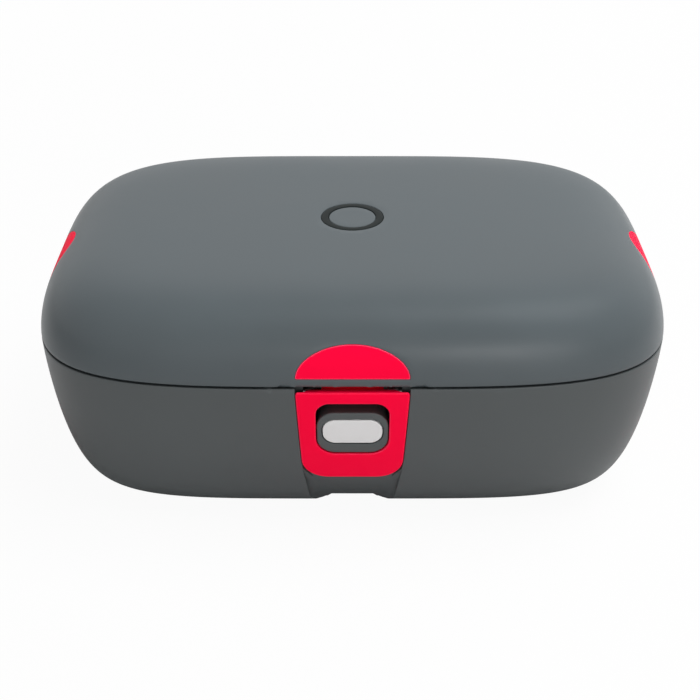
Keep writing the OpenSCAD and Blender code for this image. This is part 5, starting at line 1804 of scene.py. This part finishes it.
# %% Rubber feet
def rubber_feet():
    piece = Surface()
    seat = FOOT_SEAT_Z
    plug = COVER_TOP_Z
    corners = [(0, 0.25, 0), (3.6, 0.25, 0.3), (4.0, 0.0, 0.2), (FOOT_R - 0.1, 0.0, 0.9), (FOOT_R, seat, 0.1),
               (2.2, seat, 0.1), (2.2, plug + 0.1, 0), (2.8, plug + 0.1, 0.2), (2.5, plug + 1.4, 0.3),
               (1.0, plug + 2.0, 0.2), (0, plug + 2.0, 0)]
    for place in four(*FOOT):
        turned(piece, rounded_profile(corners), place, 64)
    build("rubber_feet", piece, "base", "foot_rubber")


rubber_feet()

# %% [markdown]
# ## Stage, camera and light
# The floor is plain and pale, and far from the box it turns fully white, so no horizon shows. Soft
# lamps light the box. Only the narrow strip is mirrored, which gives the streak along the lid.

# %% Floor
floor_mesh = bpy.data.meshes.new("floor")
floor_mesh.from_pydata([(-6, -4, 0), (6, -4, 0), (6, 8, 0), (-6, 8, 0)], [], [(0, 1, 2, 3)])
floor_obj = bpy.data.objects.new("floor", floor_mesh)
bpy.context.scene.collection.objects.link(floor_obj)
floor_mat, floor_tree, floor_shader = new_material("floor")
feed(floor_tree, floor_shader, {"Base Color": (0.62, 0.62, 0.62, 1), "Roughness": 0.9})
glow = add_node(floor_tree, "Emission", {"Strength": 1.0})
seen = add_node(floor_tree, "LightPath", {})
spot = add_node(floor_tree, "NewGeometry", {})
away = add_node(floor_tree, "VectorMath", {0: spot.outputs["Position"]}, "LENGTH").outputs["Value"]
share = add_node(floor_tree, "Math", {0: seen.outputs["Is Camera Ray"],
                                      1: ramp_between(floor_tree, away, 0.95, 1.0, 0.25, 1.2)}, "MULTIPLY")
pale = add_node(floor_tree, "MixShader", {"Fac": share.outputs["Value"], 1: floor_shader.outputs["BSDF"],
                                          2: glow.outputs["Emission"]})
feed(floor_tree, floor_tree.nodes["Material Output"], {"Surface": pale.outputs["Shader"]})
floor_mesh.materials.append(floor_mat)
print("floor material has", len(floor_tree.nodes), "nodes")

# %% World
world = bpy.data.worlds.new("studio")
bpy.context.scene.world = world
world.use_nodes = True
sky = world.node_tree
sky.nodes.clear()
soft, white = [add_node(sky, "Background", {"Color": (1, 1, 1, 1), "Strength": power})
               for power in (0.27, 1.0)]
ray = add_node(sky, "LightPath", {})
mirrored = add_node(sky, "Math", {0: ray.outputs["Is Glossy Ray"], 1: 0.7, 2: ray.outputs["Is Camera Ray"]},
                    "MULTIPLY_ADD")
mirrored.use_clamp = True
blend = add_node(sky, "MixShader", {"Fac": mirrored.outputs["Value"], 1: soft.outputs["Background"],
                                    2: white.outputs["Background"]})
add_node(sky, "OutputWorld", {"Surface": blend.outputs["Shader"]})
print("world has", len(sky.nodes), "nodes")


# %% Lamps
def softbox(name, place, target, size, power, mirrored=True):
    """A rectangular lamp; one that isn't mirrored lights the skin but makes no bright patch in it."""
    light = bpy.data.lights.new(name, "AREA")
    light.shape = "RECTANGLE"
    light.size = size[0]
    light.size_y = size[1]
    light.energy = power
    obj = bpy.data.objects.new(name, light)
    bpy.context.scene.collection.objects.link(obj)
    obj.location = place
    obj.visible_glossy = mirrored
    obj.rotation_euler = (Vector(target) - Vector(place)).to_track_quat("-Z", "Y").to_euler()


softbox("over", (0.45, -0.1, 1.15), (0, 0, 0.05), (0.9, 0.7), 18, False)
softbox("behind", (0.85, 0.85, 0.5), (0, 0, 0.09), (0.9, 0.6), 4.2, False)
softbox("strip", (0.4, -1.25, 0.25), (0.03, 0, 0.08), (0.6, 0.08), 2.0)
softbox("fill", (-0.4, -1.2, 0.2), (0, 0, 0.03), (0.6, 0.3), 2.5, False)
softbox("far", (-1.0, 0.9, 0.35), (0, 0, 0.05), (0.8, 0.4), 3.5, False)
print("lamps:", len(bpy.data.lights))

# %% Camera
PITCH = 0.545
DISTANCE = 0.60199
AIM = Vector((-0.001007, PLACE_Y * MM, 0.03994))
camera_data = bpy.data.cameras.new("camera")
camera_data.sensor_width = 36
camera_data.lens = 66.857
camera = bpy.data.objects.new("camera", camera_data)
bpy.context.scene.collection.objects.link(camera)
camera.location = AIM + DISTANCE * Vector((0, -math.cos(PITCH), math.sin(PITCH)))
camera.rotation_euler = (math.pi / 2 - PITCH, 0, 0)
bpy.context.scene.camera = camera
bpy.context.scene.view_settings.view_transform = "Standard"
print("camera at", [round(c, 3) for c in camera.location])

# %% [markdown]
# ## The other pieces
# Screws, pins, leads, the heater and the board keep the CAD's own shape, because it is already
# right for them. Each gets the finish that the frame's record names for its slot.

# %% Finish for the CAD pieces that keep their own shape
for row in frame["record"]["subparts"]:
    node_obj = frame["nodes"][row["node"]]
    node_obj.data.materials.clear()
    node_obj.data.materials.append(FINISH[row["material_slot"]])
